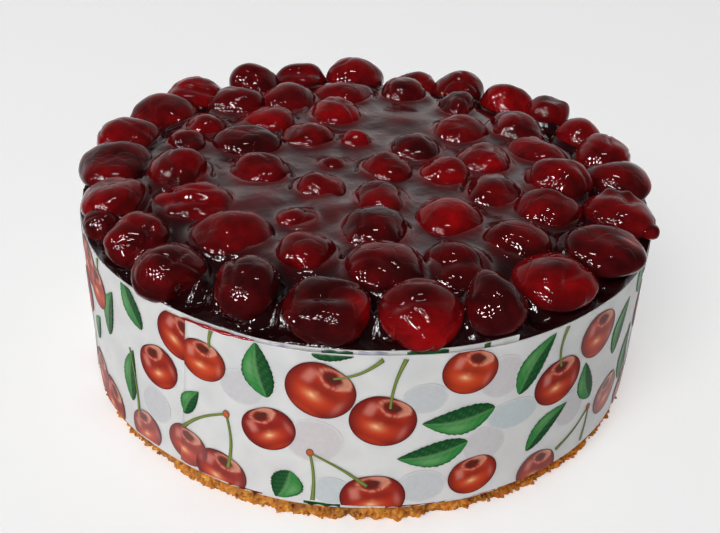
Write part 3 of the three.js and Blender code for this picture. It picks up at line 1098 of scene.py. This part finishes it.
# Print on the inner stretch where it shows past the outer one: compass angles of its ends, at top, colour.
PRINT_SLIVERS = (
    (-111.0, -107.5, True, srgb(176, 172, 190)),
    (-104.5, -101.0, True, srgb(190, 186, 200)),
    (-96.0, -91.0, True, LEAF_DARK),
    (-90.2, -85.5, True, srgb(168, 164, 182)),
    (-82.4, -75.6, True, LEAF_DARK),
    (-69.5, -68.4, True, STALK_EDGE),
    (-113.0, -106.3, False, DEEP_RED),
    (-98.7, -92.2, False, LEAF_DARK),
    (-84.3, -73.5, False, RED),
    (-68.0, -63.6, False, srgb(196, 110, 104)),
)
# Repeats of the motifs: how far along the strip, and the first and last place of the motifs that are used.
PRINT_REPEATS = (
    (0, -3.5, 165),
    (PRINT_REPEAT, -45, 165),
    (2 * PRINT_REPEAT, -45, 165),
    (3 * PRINT_REPEAT, -45, 12),
    (FILM_TURN_LENGTH, -45, 2),
)
# How far the layers of print lie off the film.
SHADOW_LIFT = 0.03
SLIVER_LIFT = 0.07
LEAF_LIFT = 0.11
CHERRY_LIFT = 0.15
STALK_LIFT = 0.19
KNOT_LIFT = 0.20
# Soft patches on a printed cherry, in order: colour, strength, then middle and half sizes on a unit disc.
CHERRY_PATCHES = (
    (DEEP_RED, 0.55, (0.1, 0.06), (0.75, 0.2)),
    (ORANGE, 0.6, (0.0, -0.86), (0.6, 0.1)),
    (GLINT, 0.45, (-0.08, -0.3), (0.24, 0.14)),
    (GLINT, 0.8, (-0.1, -0.29), (0.11, 0.06)),
    (PINK, 0.45, (0.72, -0.2), (0.09, 0.26)),
)
# Places on the same unit disc, as middle and half sizes: warm belly, mirrored window, stalk bowl and its pit.
BELLY = ((-0.1, -0.34), (0.6, 0.32))
WINDOW_MIDDLE = (-0.52, 0.26)
WINDOW_HALF = (0.15, 0.26)
BOWL = ((0.1, 0.62), (0.5, 0.33))
PIT = ((0.04, 0.62), (0.32, 0.2))
# Ring shares between which the printed cherry's side darkens, and between which its outline begins.
SIDE_RING = (0.55, 0.98)
OUTLINE_RING = (0.945, 0.985)
# How strongly belly, side, window and outline are painted.
BELLY_STRENGTH = 0.85
SIDE_STRENGTH = 0.7
WINDOW_STRENGTH = 0.7
OUTLINE_STRENGTH = 0.9
# Bowl's red floor and lit wall, as bowl shares between which they begin, and its rim's middle and half
# width, each with its strength.
BOWL_FLOOR = (1.0, 0.85)
BOWL_FLOOR_STRENGTH = 0.8
BOWL_WALL = (1.05, 0.95)
BOWL_WALL_STRENGTH = 0.75
BOWL_RIM = (0.95, 0.09)
BOWL_RIM_STRENGTH = 0.85
# Lit side of the bowl's wall: how much a place counts for being high, and between what sums the light begins.
LIT_SLOPE = 0.5
LIT_SIDE = (0.4, 0.62)
# Pit shares between which its dark begins.
PIT_EDGE = (1.15, 0.75)
# Printed cherry: rings and sides of its disc, dip at the stalk, the dip's width in radians, height share.
CHERRY_DISC = (16, 48)
STALK_DIP = 0.07
STALK_DIP_WIDTH = 0.5
CHERRY_SQUASH = 0.93
# Printed leaf: steps along and across it, teeth and veins along it, depth of a tooth, bend to its length.
LEAF_STEPS = (40, 11)
LEAF_TEETH = 11
LEAF_VEINS = 7
TOOTH_DEPTH = 0.10
LEAF_BEND = 0.08
# Leaf's outline: power that moves its widest place towards the foot, and power that fills it out.
LEAF_WIDEST = 0.8
LEAF_FULLNESS = 0.85
# Leaf's paint, from one edge at -1 to the other at 1: where its light half begins, a pale patch as middle
# and half sizes along and across, where the veins end, where the dark edge begins, and that edge's tone.
LIGHT_HALF = (-0.25, 0.3)
PALE_PATCH = ((0.55, 0.45), (0.22, 0.3))
VEIN_END = (0.9, 0.6)
LEAF_EDGE = (0.9, 1.0)
LEAF_EDGE_TONE = 0.6
# How strongly patch, veins, midrib and edge are painted.
PATCH_STRENGTH = 0.55
VEIN_STRENGTH = 0.18
MIDRIB_STRENGTH = 0.4
LEAF_EDGE_STRENGTH = 0.8
# How much further towards the foot of the leaf a vein begins at its edge, and half widths of vein and midrib.
VEIN_SLANT = 1.6
VEIN_WIDTH = 0.13
MIDRIB_WIDTH = 0.08
# Printed stalk: steps along and across it, half width at its start, how much wider its far end is, and
# between what shares of its half width its dark edge begins.
STALK_STEPS = (18, 5)
STALK_HALF = 0.45
STALK_FLARE = 0.35
STALK_SHADE = (0.4, 1.0)
# Knot and shadow: rings and sides of their discs, the knot's half sizes, and between what ring shares the
# knot darkens and the shadow fades out.
KNOT_DISC = (4, 14)
KNOT_HALF = (1.3, 1.6)
SHADOW_DISC = (8, 40)
KNOT_SHADE = (0.6, 1.0)
SHADOW_FADE = (0.88, 1.0)
# Slivers: steps along and up, height, inset from the film's edge, then strength, wave length and seed of the
# ragged edge and of the tone.
SLIVER_STEPS = (14, 3)
SLIVER_HEIGHT = 2.0
SLIVER_INSET = 0.06
RAGGED = (0.25, 5, 85)
SLIVER_TONES = (0.2, 6, 86)
# Discs: power that crowds the rings towards the edge, and share of the radius at which the crisp edge begins.
DISC_CROWDING = 0.6
DISC_EDGE = 0.997
# How far inside the film's edges and its outer end the print is cut.
EDGE_MARGIN = 0.1
END_MARGIN = 0.2


def print_shifts(rows):
    """Repeats a motif list along the strip, from its outer end to the seam."""
    spread = []
    for shift, low, high in PRINT_REPEATS:
        spread += [(shift, row) for row in rows if low <= row[0] <= high]
    return spread


def turned(x, y, degrees):
    """Turns flat places counter-clockwise."""
    angle = math.radians(degrees)
    return x * math.cos(angle) - y * math.sin(angle), x * math.sin(angle) + y * math.cos(angle)


def disc_grid(rows, columns):
    """Ring share and angle on a disc, with rings closer together towards the edge."""
    ring = np.append(DISC_EDGE * np.linspace(0, 1, rows - 1) ** DISC_CROWDING, 1.0)[:, None]
    around = np.linspace(0, TURN, columns, endpoint=False)[None]
    return np.broadcast_arrays(ring, around)


def flat_grid(steps, low, high):
    """Share along a flat motif and place across it, on a grid."""
    along, across = steps
    return np.meshgrid(np.linspace(0, 1, along), np.linspace(low, high, across), indexing="ij")


def painted_cherry(x, y, warmth):
    """Colours of a printed cherry: orange to deep red, pink sheen, pale glint, stalk hollow, dark outline."""
    edge = np.hypot(x, y)
    body = RED + (ORANGE - RED) * warmth
    colour = np.broadcast_to(body, (*edge.shape, 3))
    colour = mix(colour, ORANGE, BELLY_STRENGTH * spot(x, y, *BELLY))
    colour = mix(colour, DEEP_RED, SIDE_STRENGTH * smooth(edge, *SIDE_RING))
    for patch, strength, middle, half in CHERRY_PATCHES:
        colour = mix(colour, patch, strength * spot(x, y, middle, half))
    right = (x - WINDOW_MIDDLE[0]) / WINDOW_HALF[0]
    up = (y - WINDOW_MIDDLE[1]) / WINDOW_HALF[1]
    colour = mix(colour, PINK, WINDOW_STRENGTH * np.exp(-(right**4) - up**4))
    bowl = oval(x, y, *BOWL)
    lit_side = smooth(x + LIT_SLOPE * y, *LIT_SIDE)
    colour = mix(colour, RED, BOWL_FLOOR_STRENGTH * smooth(bowl, *BOWL_FLOOR))
    colour = mix(colour, CREAM, BOWL_WALL_STRENGTH * smooth(bowl, *BOWL_WALL) * lit_side)
    colour = mix(colour, CREAM, BOWL_RIM_STRENGTH * bell(bowl, *BOWL_RIM))
    colour = mix(colour, HOLLOW, smooth(oval(x, y, *PIT), *PIT_EDGE))
    return mix(colour, OUTLINE, OUTLINE_STRENGTH * smooth(edge, *OUTLINE_RING))


def print_cherry(row):
    """Flat places and colours of one printed cherry: a disc with a shallow dip at the stalk."""
    along, height, width, side, warmth, paleness = row
    ring, around = disc_grid(*CHERRY_DISC)
    dip = 1 - STALK_DIP * bell(around, math.pi / 2, STALK_DIP_WIDTH)
    x = ring * np.cos(around) * dip
    y = ring * np.sin(around) * dip * CHERRY_SQUASH
    colour = painted_cherry(ring * np.cos(around), ring * np.sin(around), warmth)
    colour = mix(colour, FILM_WHITE, np.full(ring.shape, paleness))
    flat_x, flat_y = turned(x * width / 2, y * width / 2, -side)
    return np.stack([along + flat_x, height + flat_y], -1), colour


def print_leaf(row):
    """Flat places and colours of one printed leaf: a pointed blade with teeth, midrib and slanting veins."""
    along, height, length, width, tip = row
    part, across = flat_grid(LEAF_STEPS, -1, 1)
    aside = np.abs(across)
    teeth = 1 - TOOTH_DEPTH * ((part * LEAF_TEETH) % 1) * (aside == 1)
    blade = np.sin(math.pi * part**LEAF_WIDEST) ** LEAF_FULLNESS * teeth
    x = (part - 0.5) * length
    y = across * blade * width / 2 + LEAF_BEND * length * np.sin(math.pi * part)
    colour = mix(np.broadcast_to(LEAF_DARK, (*x.shape, 3)), LEAF_LIGHT, smooth(across, *LIGHT_HALF))
    colour = mix(colour, LEAF_PALE, PATCH_STRENGTH * spot(part, across, *PALE_PATCH))
    slant = (part * LEAF_VEINS - VEIN_SLANT * aside) % 1
    vein = bell(slant, 0.5, VEIN_WIDTH) * smooth(aside, *VEIN_END)
    colour = mix(colour, LEAF_PALE, VEIN_STRENGTH * vein)
    colour = mix(colour, LEAF_PALE, MIDRIB_STRENGTH * bell(across, 0, MIDRIB_WIDTH))
    colour = mix(colour, LEAF_DARK * LEAF_EDGE_TONE, LEAF_EDGE_STRENGTH * smooth(aside, *LEAF_EDGE))
    flat_x, flat_y = turned(x, y, tip)
    return np.stack([along + flat_x, height + flat_y], -1), colour


def print_stalk(row):
    """Flat places and colours of one printed stalk: a bowed ribbon, wider at its far end, with dark edges."""
    start, end, bow = row
    start, end = np.array(start, float), np.array(end, float)
    part, across = flat_grid(STALK_STEPS, -1, 1)
    run = end - start
    left = np.array([-run[1], run[0]]) / np.linalg.norm(run)
    half = STALK_HALF + STALK_FLARE * part**3
    middle = start + run * part[..., None] + left * (bow * np.sin(math.pi * part))[..., None]
    colour = mix(np.broadcast_to(STALK, (*part.shape, 3)), STALK_EDGE, smooth(np.abs(across), *STALK_SHADE))
    return middle + left * (across * half)[..., None], colour


def print_knot(row):
    """Flat places and colours of the small knot where stalks meet."""
    along, height = row
    ring, around = disc_grid(*KNOT_DISC)
    x = KNOT_HALF[0] * ring * np.cos(around)
    y = KNOT_HALF[1] * ring * np.sin(around)
    colour = mix(np.broadcast_to(KNOT, (*ring.shape, 3)), STALK_EDGE, smooth(ring, *KNOT_SHADE))
    return np.stack([along + x, height + y], -1), colour


def print_shadow(row):
    """Flat places and colours of one pale oval shadow of a fruit, just off the film's white."""
    along, height, width, tall, blue = row
    ring, around = disc_grid(*SHADOW_DISC)
    x = ring * np.cos(around) * width / 2
    y = ring * np.sin(around) * tall / 2
    tone = SHADOW_PINK + (SHADOW_BLUE - SHADOW_PINK) * blue
    colour = mix(np.broadcast_to(tone, (*ring.shape, 3)), FILM_WHITE, smooth(ring, *SHADOW_FADE))
    return np.stack([along + x, height + y], -1), colour


def print_sliver(row):
    """Flat places and colours of print on the inner stretch, where it shows past the outer one's edges."""
    start, end, at_top, tone = row
    part, rise = flat_grid(SLIVER_STEPS, -1, 0)
    along = (start + (end - start) * part - FILM_START) * FILM_TURN_LENGTH / 360
    low, high = film_edges(along + FILM_TURN_LENGTH)
    rag, length, seed = RAGGED
    inward = SLIVER_INSET + rag * (1 + ripples(along[..., None], length, seed)) - SLIVER_HEIGHT * rise
    place = np.stack([along, high - inward if at_top else low + inward], -1)
    strength, length, seed = SLIVER_TONES
    shade = 1 + strength * ripples(place, length, seed)
    return place, np.asarray(tone) * shade[..., None]


def cut_to_film(mesh):
    """Cuts flat print off at the film's lower and upper edge and at its slanted outer end."""
    cuts = (
        ((0, FILM_BOTTOM + EDGE_MARGIN, 0), (0, -1, 0)),
        ((0, FILM_TOP - EDGE_MARGIN, 0), (0, 1, 0)),
        ((END_MARGIN, FILM_TOP, 0), (-(FILM_TOP - FILM_BOTTOM), FILM_END_SLANT, 0)),
    )
    made = bmesh.new()
    made.from_mesh(mesh)
    bmesh.ops.remove_doubles(made, verts=made.verts, dist=JOIN_DISTANCE)
    for place, outward in cuts:
        bmesh.ops.bisect_plane(
            made,
            geom=[*made.verts, *made.edges, *made.faces],
            dist=CUT_DISTANCE,
            plane_co=Vector(place) * MM,
            plane_no=Vector(outward).normalized(),
            clear_outer=True,
        )
    made.to_mesh(mesh)
    made.free()


def make_print(name, motifs, wrap, material, lift, cut=True):
    """One kind of motif as one piece: drawn flat, cut to the film, wrapped round the cake and thickened."""
    rows, columns = motifs[0][1].shape[:2]
    flat = np.stack([places for places, _ in motifs])
    colours = np.stack([colour for _, colour in motifs])
    points = np.concatenate([flat, np.zeros((*flat.shape[:-1], 1))], -1)
    quads = repeat_quads(grid_quads(rows, columns, wrap), rows * columns, len(motifs))
    mesh = fill_mesh(name, points, quads, colours)
    if cut:
        cut_to_film(mesh)
    places = np.empty(3 * len(mesh.vertices), np.float32)
    mesh.vertices.foreach_get("co", places)
    places = places.reshape(-1, 3) / MM
    along, height = places[:, 0], places[:, 1]
    height = height - film_hang(along) * (FILM_TOP - height) / (FILM_TOP - FILM_BOTTOM)
    wrapped = onto_film(along, height, lift + INK_THICKNESS)
    mesh.vertices.foreach_set("co", (wrapped * MM).astype(np.float32).ravel())
    mesh.polygons.foreach_set("use_smooth", np.ones(len(mesh.polygons), bool))
    mesh.update()
    piece = add_piece(mesh, material)
    wall = piece.modifiers.new("ink thickness", "SOLIDIFY")
    wall.thickness = INK_THICKNESS * MM
    wall.offset = -1
    return piece


def shifted(made, shift):
    """Moves one flat motif along the strip."""
    places, colour = made
    return places + np.array([shift, 0]), colour


def make_prints(material):
    """All the print, from the pale shadows at the bottom to the stalks on top."""
    layers = (
        ("print_shadows", PRINT_SHADOWS, print_shadow, True, SHADOW_LIFT),
        ("print_leaves", PRINT_LEAVES, print_leaf, False, LEAF_LIFT),
        ("print_cherries", PRINT_CHERRIES, print_cherry, True, CHERRY_LIFT),
        ("print_knots", PRINT_KNOTS, print_knot, True, KNOT_LIFT),
    )
    for name, rows, draw, wrap, lift in layers:
        motifs = [shifted(draw(row), shift) for shift, row in print_shifts(rows)]
        make_print(name, motifs, wrap, material, lift)
    stalks = [(start[0], (start, end, bow)) for start, end, bow in PRINT_STALKS]
    motifs = [shifted(print_stalk(row), shift) for shift, (_, row) in print_shifts(stalks)]
    make_print("print_stalks", motifs, False, material, STALK_LIFT)
    slivers = [shifted(print_sliver(row), FILM_TURN_LENGTH) for row in PRINT_SLIVERS]
    make_print("print_slivers", slivers, False, material, SLIVER_LIFT, cut=False)


# Crust

CRUST_ROWS = 26
CRUST_COLUMNS = 1000
CRUST_RADIUS = 107.6
CRUST_TOP = 6.7
# Bulge under the film: how far, compass angle of its middle, half width, share elsewhere, and up to
# what height it is full.
CRUST_BULGE = 2.3
BULGE_MIDDLE = -98.0
BULGE_SPREAD = 34.0
LEAST_BULGE = 0.3
BULGE_HEIGHT = 3.0
# Lumps of the wall: height, wave length, seed; the crumbly ones only stand out.
CRUST_LUMPS = (
    (0.4, 11, 91),
    (0.35, 6, 94),
    (0.3, 1.6, 93),
)
CRUMBLY_LUMPS = (0.6, 3.4, 92)
# How far the wall sinks to make room for the lumps, and how far and from what height its foot is drawn in.
LUMP_ROOM = 0.6
FOOT_TUCK = 0.9
FOOT_TUCK_HEIGHT = 1.2
# Painted shade on the crust wall: tone of the hollows between lumps, what the lumps add to it, and the lump
# heights between which it changes.
HOLLOW_SHADE_TONE = 0.62
LUMP_TONE = 0.6
LUMP_TONE_RANGE = (-0.8, 1.0)
# Crumbs: how many, seed, grid, half size, room left under the film, how far they stand out, and tone.
CRUMB_COUNT = 900
CRUMB_SEED = 17
CRUMB_ROWS = 6
CRUMB_COLUMNS = 7
CRUMB_HALF = (0.3, 0.8)
CRUMB_HEADROOM = 0.6
CRUMB_STAND = (-0.8, 0.1)
CRUMB_TONES = (0.6, 1.15)
# Lumps of the crumbs: height share, wave length, seed, and how far apart the places on one crumb count.
CRUMB_LUMPS = (0.3, 1.7, 18)
CRUMB_REACH = 0.8
# Where cherry juice has reddened the crust: compass angle of its middle, half width, tone and share.
STAIN_MIDDLE = -52.0
STAIN_SPREAD = 26.0
STAIN_TONE = (0.98, 0.78, 1.0)
STAIN_SHARE = 0.8


def near_compass(angle, middle, spread):
    """A bell curve round the cake: 1 at a compass angle, falling off with a half width, both in degrees."""
    return bell((np.degrees(angle) - middle + 180) % 360 - 180, 0, spread)


def crust_bulge(angle, height):
    """How far the crust stands out under the film: most at the front, none at its top."""
    front = near_compass(angle, BULGE_MIDDLE, BULGE_SPREAD)
    share = LEAST_BULGE + (1 - LEAST_BULGE) * front
    return CRUST_BULGE * share * smooth(height, CRUST_TOP, BULGE_HEIGHT)


def make_crust(material):
    """The biscuit foot: a ring wall with crumb lumps of four sizes, closed by a flat floor and top."""
    around = np.linspace(0, TURN, CRUST_COLUMNS, endpoint=False)[None]
    height = np.linspace(0, CRUST_TOP, CRUST_ROWS)[:, None]
    even = round_cake(CRUST_RADIUS, around, height)
    tall, length, seed = CRUMBLY_LUMPS
    lumps = tall * np.abs(ripples(even, length, seed))
    for tall, length, seed in CRUST_LUMPS:
        lumps = lumps + tall * ripples(even, length, seed)
    tuck = FOOT_TUCK * smooth(height, FOOT_TUCK_HEIGHT, 0)
    radius = CRUST_RADIUS + crust_bulge(around, height) - LUMP_ROOM + lumps - tuck
    wall = round_cake(radius, around, height)
    floor_middle = np.zeros((1, CRUST_COLUMNS, 3))
    top_middle = np.zeros((1, CRUST_COLUMNS, 3))
    top_middle[..., 2] = CRUST_TOP
    points = np.concatenate([floor_middle, wall, top_middle])
    even_row = np.zeros((1, CRUST_COLUMNS))
    shade = np.concatenate([even_row, lumps, even_row])
    # Painted shade: the hollows between lumps darker, the lumps lighter.
    tone = HOLLOW_SHADE_TONE + LUMP_TONE * smooth(shade, *LUMP_TONE_RANGE)
    stain = STAIN_SHARE * near_compass(around, STAIN_MIDDLE, STAIN_SPREAD)
    colours = tone[..., None] * mix(np.ones(3), STAIN_TONE, stain)
    rows = CRUST_ROWS + 2
    mesh = fill_mesh("crust_wall", points, grid_quads(rows, CRUST_COLUMNS, True), colours)
    merge_doubles(mesh)
    return add_piece(mesh, material, ["crust"])


def make_crumbs(material):
    """Loose crumbs pressed into the foot: small uneven balls all over its wall, flat at the floor."""
    rng = np.random.default_rng(CRUMB_SEED)
    ball, _, _ = unit_ball(CRUMB_ROWS, CRUMB_COLUMNS)
    half = rng.uniform(*CRUMB_HALF, CRUMB_COUNT)
    angle = rng.uniform(0, TURN, CRUMB_COUNT)
    height = half + rng.uniform(0, 1, CRUMB_COUNT) * (CRUST_TOP - CRUMB_HEADROOM - 2 * half)
    radius = CRUST_RADIUS + crust_bulge(angle, height) + rng.uniform(*CRUMB_STAND, CRUMB_COUNT)
    middles = round_cake(radius, angle, height)
    tall, length, seed = CRUMB_LUMPS
    places = ball[None] * CRUMB_REACH + middles[:, None, None]
    reach = half[:, None, None] * (1 + tall * ripples(places, length, seed))
    reach[:, 0] = reach[:, :1, 0]
    reach[:, -1] = reach[:, -1:, 0]
    points = middles[:, None, None] + ball[None] * reach[..., None]
    points[..., 2] = np.maximum(points[..., 2], 0)
    tone = np.broadcast_to(rng.uniform(*CRUMB_TONES, CRUMB_COUNT)[:, None, None, None], points.shape)
    size = CRUMB_ROWS * CRUMB_COLUMNS
    quads = repeat_quads(grid_quads(CRUMB_ROWS, CRUMB_COLUMNS, True), size, CRUMB_COUNT)[:, ::-1]
    mesh = fill_mesh("crust_crumbs", points, quads, tone)
    merge_doubles(mesh)
    return add_piece(mesh, material)


# Camera, floor and light

EYE = (0.0, -352.4, 249.7)
EYE_YAW = -0.21
EYE_PITCH = 31.57
EYE_ROLL = 2.39
LENS = 50.0
SENSOR_WIDTH = 36.0
NEAREST = 0.01
# Floor: sides of the disc, and its radius in metres.
FLOOR_SIDES = 96
FLOOR_RADIUS = 6.0


def make_camera():
    """The photograph's view: looking down on the cake, rolled a little."""
    yaw, pitch, roll = np.radians([EYE_YAW, EYE_PITCH, EYE_ROLL])
    ahead = np.array([math.sin(yaw) * math.cos(pitch), math.cos(yaw) * math.cos(pitch), -math.sin(pitch)])
    level = np.array([math.cos(yaw), -math.sin(yaw), 0])
    upright = np.cross(level, ahead)
    right = math.cos(roll) * level + math.sin(roll) * upright
    up = -math.sin(roll) * level + math.cos(roll) * upright
    lens = bpy.data.cameras.new("camera")
    lens.lens = LENS
    lens.sensor_width = SENSOR_WIDTH
    lens.sensor_fit = "HORIZONTAL"
    lens.clip_start = NEAREST
    camera = bpy.data.objects.new("camera", lens)
    bpy.context.scene.collection.objects.link(camera)
    turn = Matrix((right, up, -ahead)).transposed().to_4x4()
    camera.matrix_world = Matrix.Translation(Vector(EYE) * MM) @ turn
    bpy.context.scene.camera = camera


def make_floor():
    """A wide pale disc under the cake."""
    made = bmesh.new()
    bmesh.ops.create_circle(made, cap_ends=True, segments=FLOOR_SIDES, radius=FLOOR_RADIUS)
    mesh = bpy.data.meshes.new("floor")
    made.to_mesh(mesh)
    made.free()
    mesh.materials.append(floor_material())
    floor = bpy.data.objects.new("floor", mesh)
    bpy.context.scene.collection.objects.link(floor)
    floor.visible_glossy = False


# Lamps: distance from the cake's top in metres.
LAMP_DISTANCE = 3.0
# Soft main lamp: compass angle, height angle, width and height in metres, power.
KEY_COMPASS = -116
KEY_HEIGHT = 42
KEY_SIZE = (1.6, 1.6)
KEY_WATTS = 53.0
# Window panes that only the gloss shows: compass angle, height angle, width and height in metres.
PANES = (
    (-168, 31, 0.26, 0.30),
    (-158, 19, 0.32, 0.24),
    (-153, 43, 0.26, 0.24),
    (-143, 28, 0.30, 0.34),
    (-138, 55, 0.26, 0.22),
    (-131, 17, 0.30, 0.24),
    (-126, 39, 0.28, 0.34),
    (-117, 26, 0.34, 0.26),
    (-111, 50, 0.26, 0.22),
    (-103, 18, 0.26, 0.24),
    (-98, 36, 0.30, 0.24),
)
# Strip overhead that only the gloss shows, in the same order, and power of a square metre of each.
OVERHEAD = (-100, 84, 0.66, 0.12)
PANE_RADIANCE = 480.0
# Room: how far back a direction points where the pale part begins, how high where it fades, what is left
# of it overhead, and colours of the dark and the pale part.
ROOM_BEHIND = (0.05, 0.6)
ROOM_LOW = (0.2, 0.9)
ROOM_OVERHEAD = 0.1
ROOM_DARK = (0.1, 0.1, 0.1, 1)
ROOM_PALE = (0.83, 0.82, 0.83, 1)


def add_lamp(name, compass, height, size, watts):
    """An oblong soft lamp at a compass angle and height angle from the cake's top, turned towards it."""
    compass, height = math.radians(compass), math.radians(height)
    target = Vector((0, 0, FILM_TOP * MM))
    flat = math.cos(height)
    out = Vector((math.cos(compass) * flat, math.sin(compass) * flat, math.sin(height)))
    light = bpy.data.lights.new(name, "AREA")
    light.shape = "RECTANGLE"
    light.size, light.size_y = size
    light.energy = watts
    lamp = bpy.data.objects.new(name, light)
    bpy.context.scene.collection.objects.link(lamp)
    turn = out.to_track_quat("Z", "Y").to_matrix().to_4x4()
    lamp.matrix_world = Matrix.Translation(target + out * LAMP_DISTANCE) @ turn
    return lamp


def add_pane(name, compass, height, wide, tall):
    """A lamp that only the gloss shows."""
    pane = add_lamp(name, compass, height, (wide, tall), PANE_RADIANCE * wide * tall)
    pane.visible_diffuse = False


def make_lights():
    """A soft lamp at the front left, panes and a strip overhead for the gloss, and a room pale behind."""
    key = add_lamp("key", KEY_COMPASS, KEY_HEIGHT, KEY_SIZE, KEY_WATTS)
    key.visible_glossy = False
    for number, pane in enumerate(PANES):
        add_pane(f"pane_{number}", *pane)
    add_pane("strip", *OVERHEAD)
    world = bpy.data.worlds.new("room")
    bpy.context.scene.world = world
    world.use_nodes = True
    tree = world.node_tree
    direction = add_node(tree, "ShaderNodeTexCoord")
    split = add_node(tree, "ShaderNodeSeparateXYZ")
    tree.links.new(direction.outputs["Generated"], split.inputs[0])
    behind = add_range(tree, split.outputs["Y"], *ROOM_BEHIND, 0.0, 1.0)
    low = add_range(tree, split.outputs["Z"], *ROOM_LOW, 1.0, ROOM_OVERHEAD)
    both = add_node(tree, "ShaderNodeMath", {"operation": "MULTIPLY"})
    tree.links.new(behind, both.inputs[0])
    tree.links.new(low, both.inputs[1])
    colour = add_mix(tree, "MIX", both.outputs["Value"], ROOM_DARK, ROOM_PALE)
    tree.links.new(colour, tree.nodes["Background"].inputs["Color"])


def make_cake():
    """Every piece of the cake."""
    cherry = cherry_material()
    make_cherries("cherries_rim", [*RIM_RING], cherry, seed=3, waterline=4.0, foot=RIM_FOOT)
    make_cherries("cherries_second", [*SECOND_RING], cherry, seed=4, waterline=2.5, foot=SECOND_FOOT)
    inner = [*INNER_RINGS, *EXTRA_CHERRIES]
    make_cherries("cherries_inner", inner, cherry, seed=5, waterline=2.0, foot=INNER_FOOT)
    jelly = jelly_material()
    make_jelly(jelly)
    make_smear(jelly)
    make_film(film_material())
    make_prints(ink_material())
    crust = crust_material()
    make_crust(crust)
    make_crumbs(crust)
    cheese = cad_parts["cheese"]
    cheese.data.materials.clear()
    cheese.data.materials.append(cheese_material())


make_cake()
make_camera()
make_floor()
make_lights()
bpy.context.scene.view_settings.view_transform = "Standard"
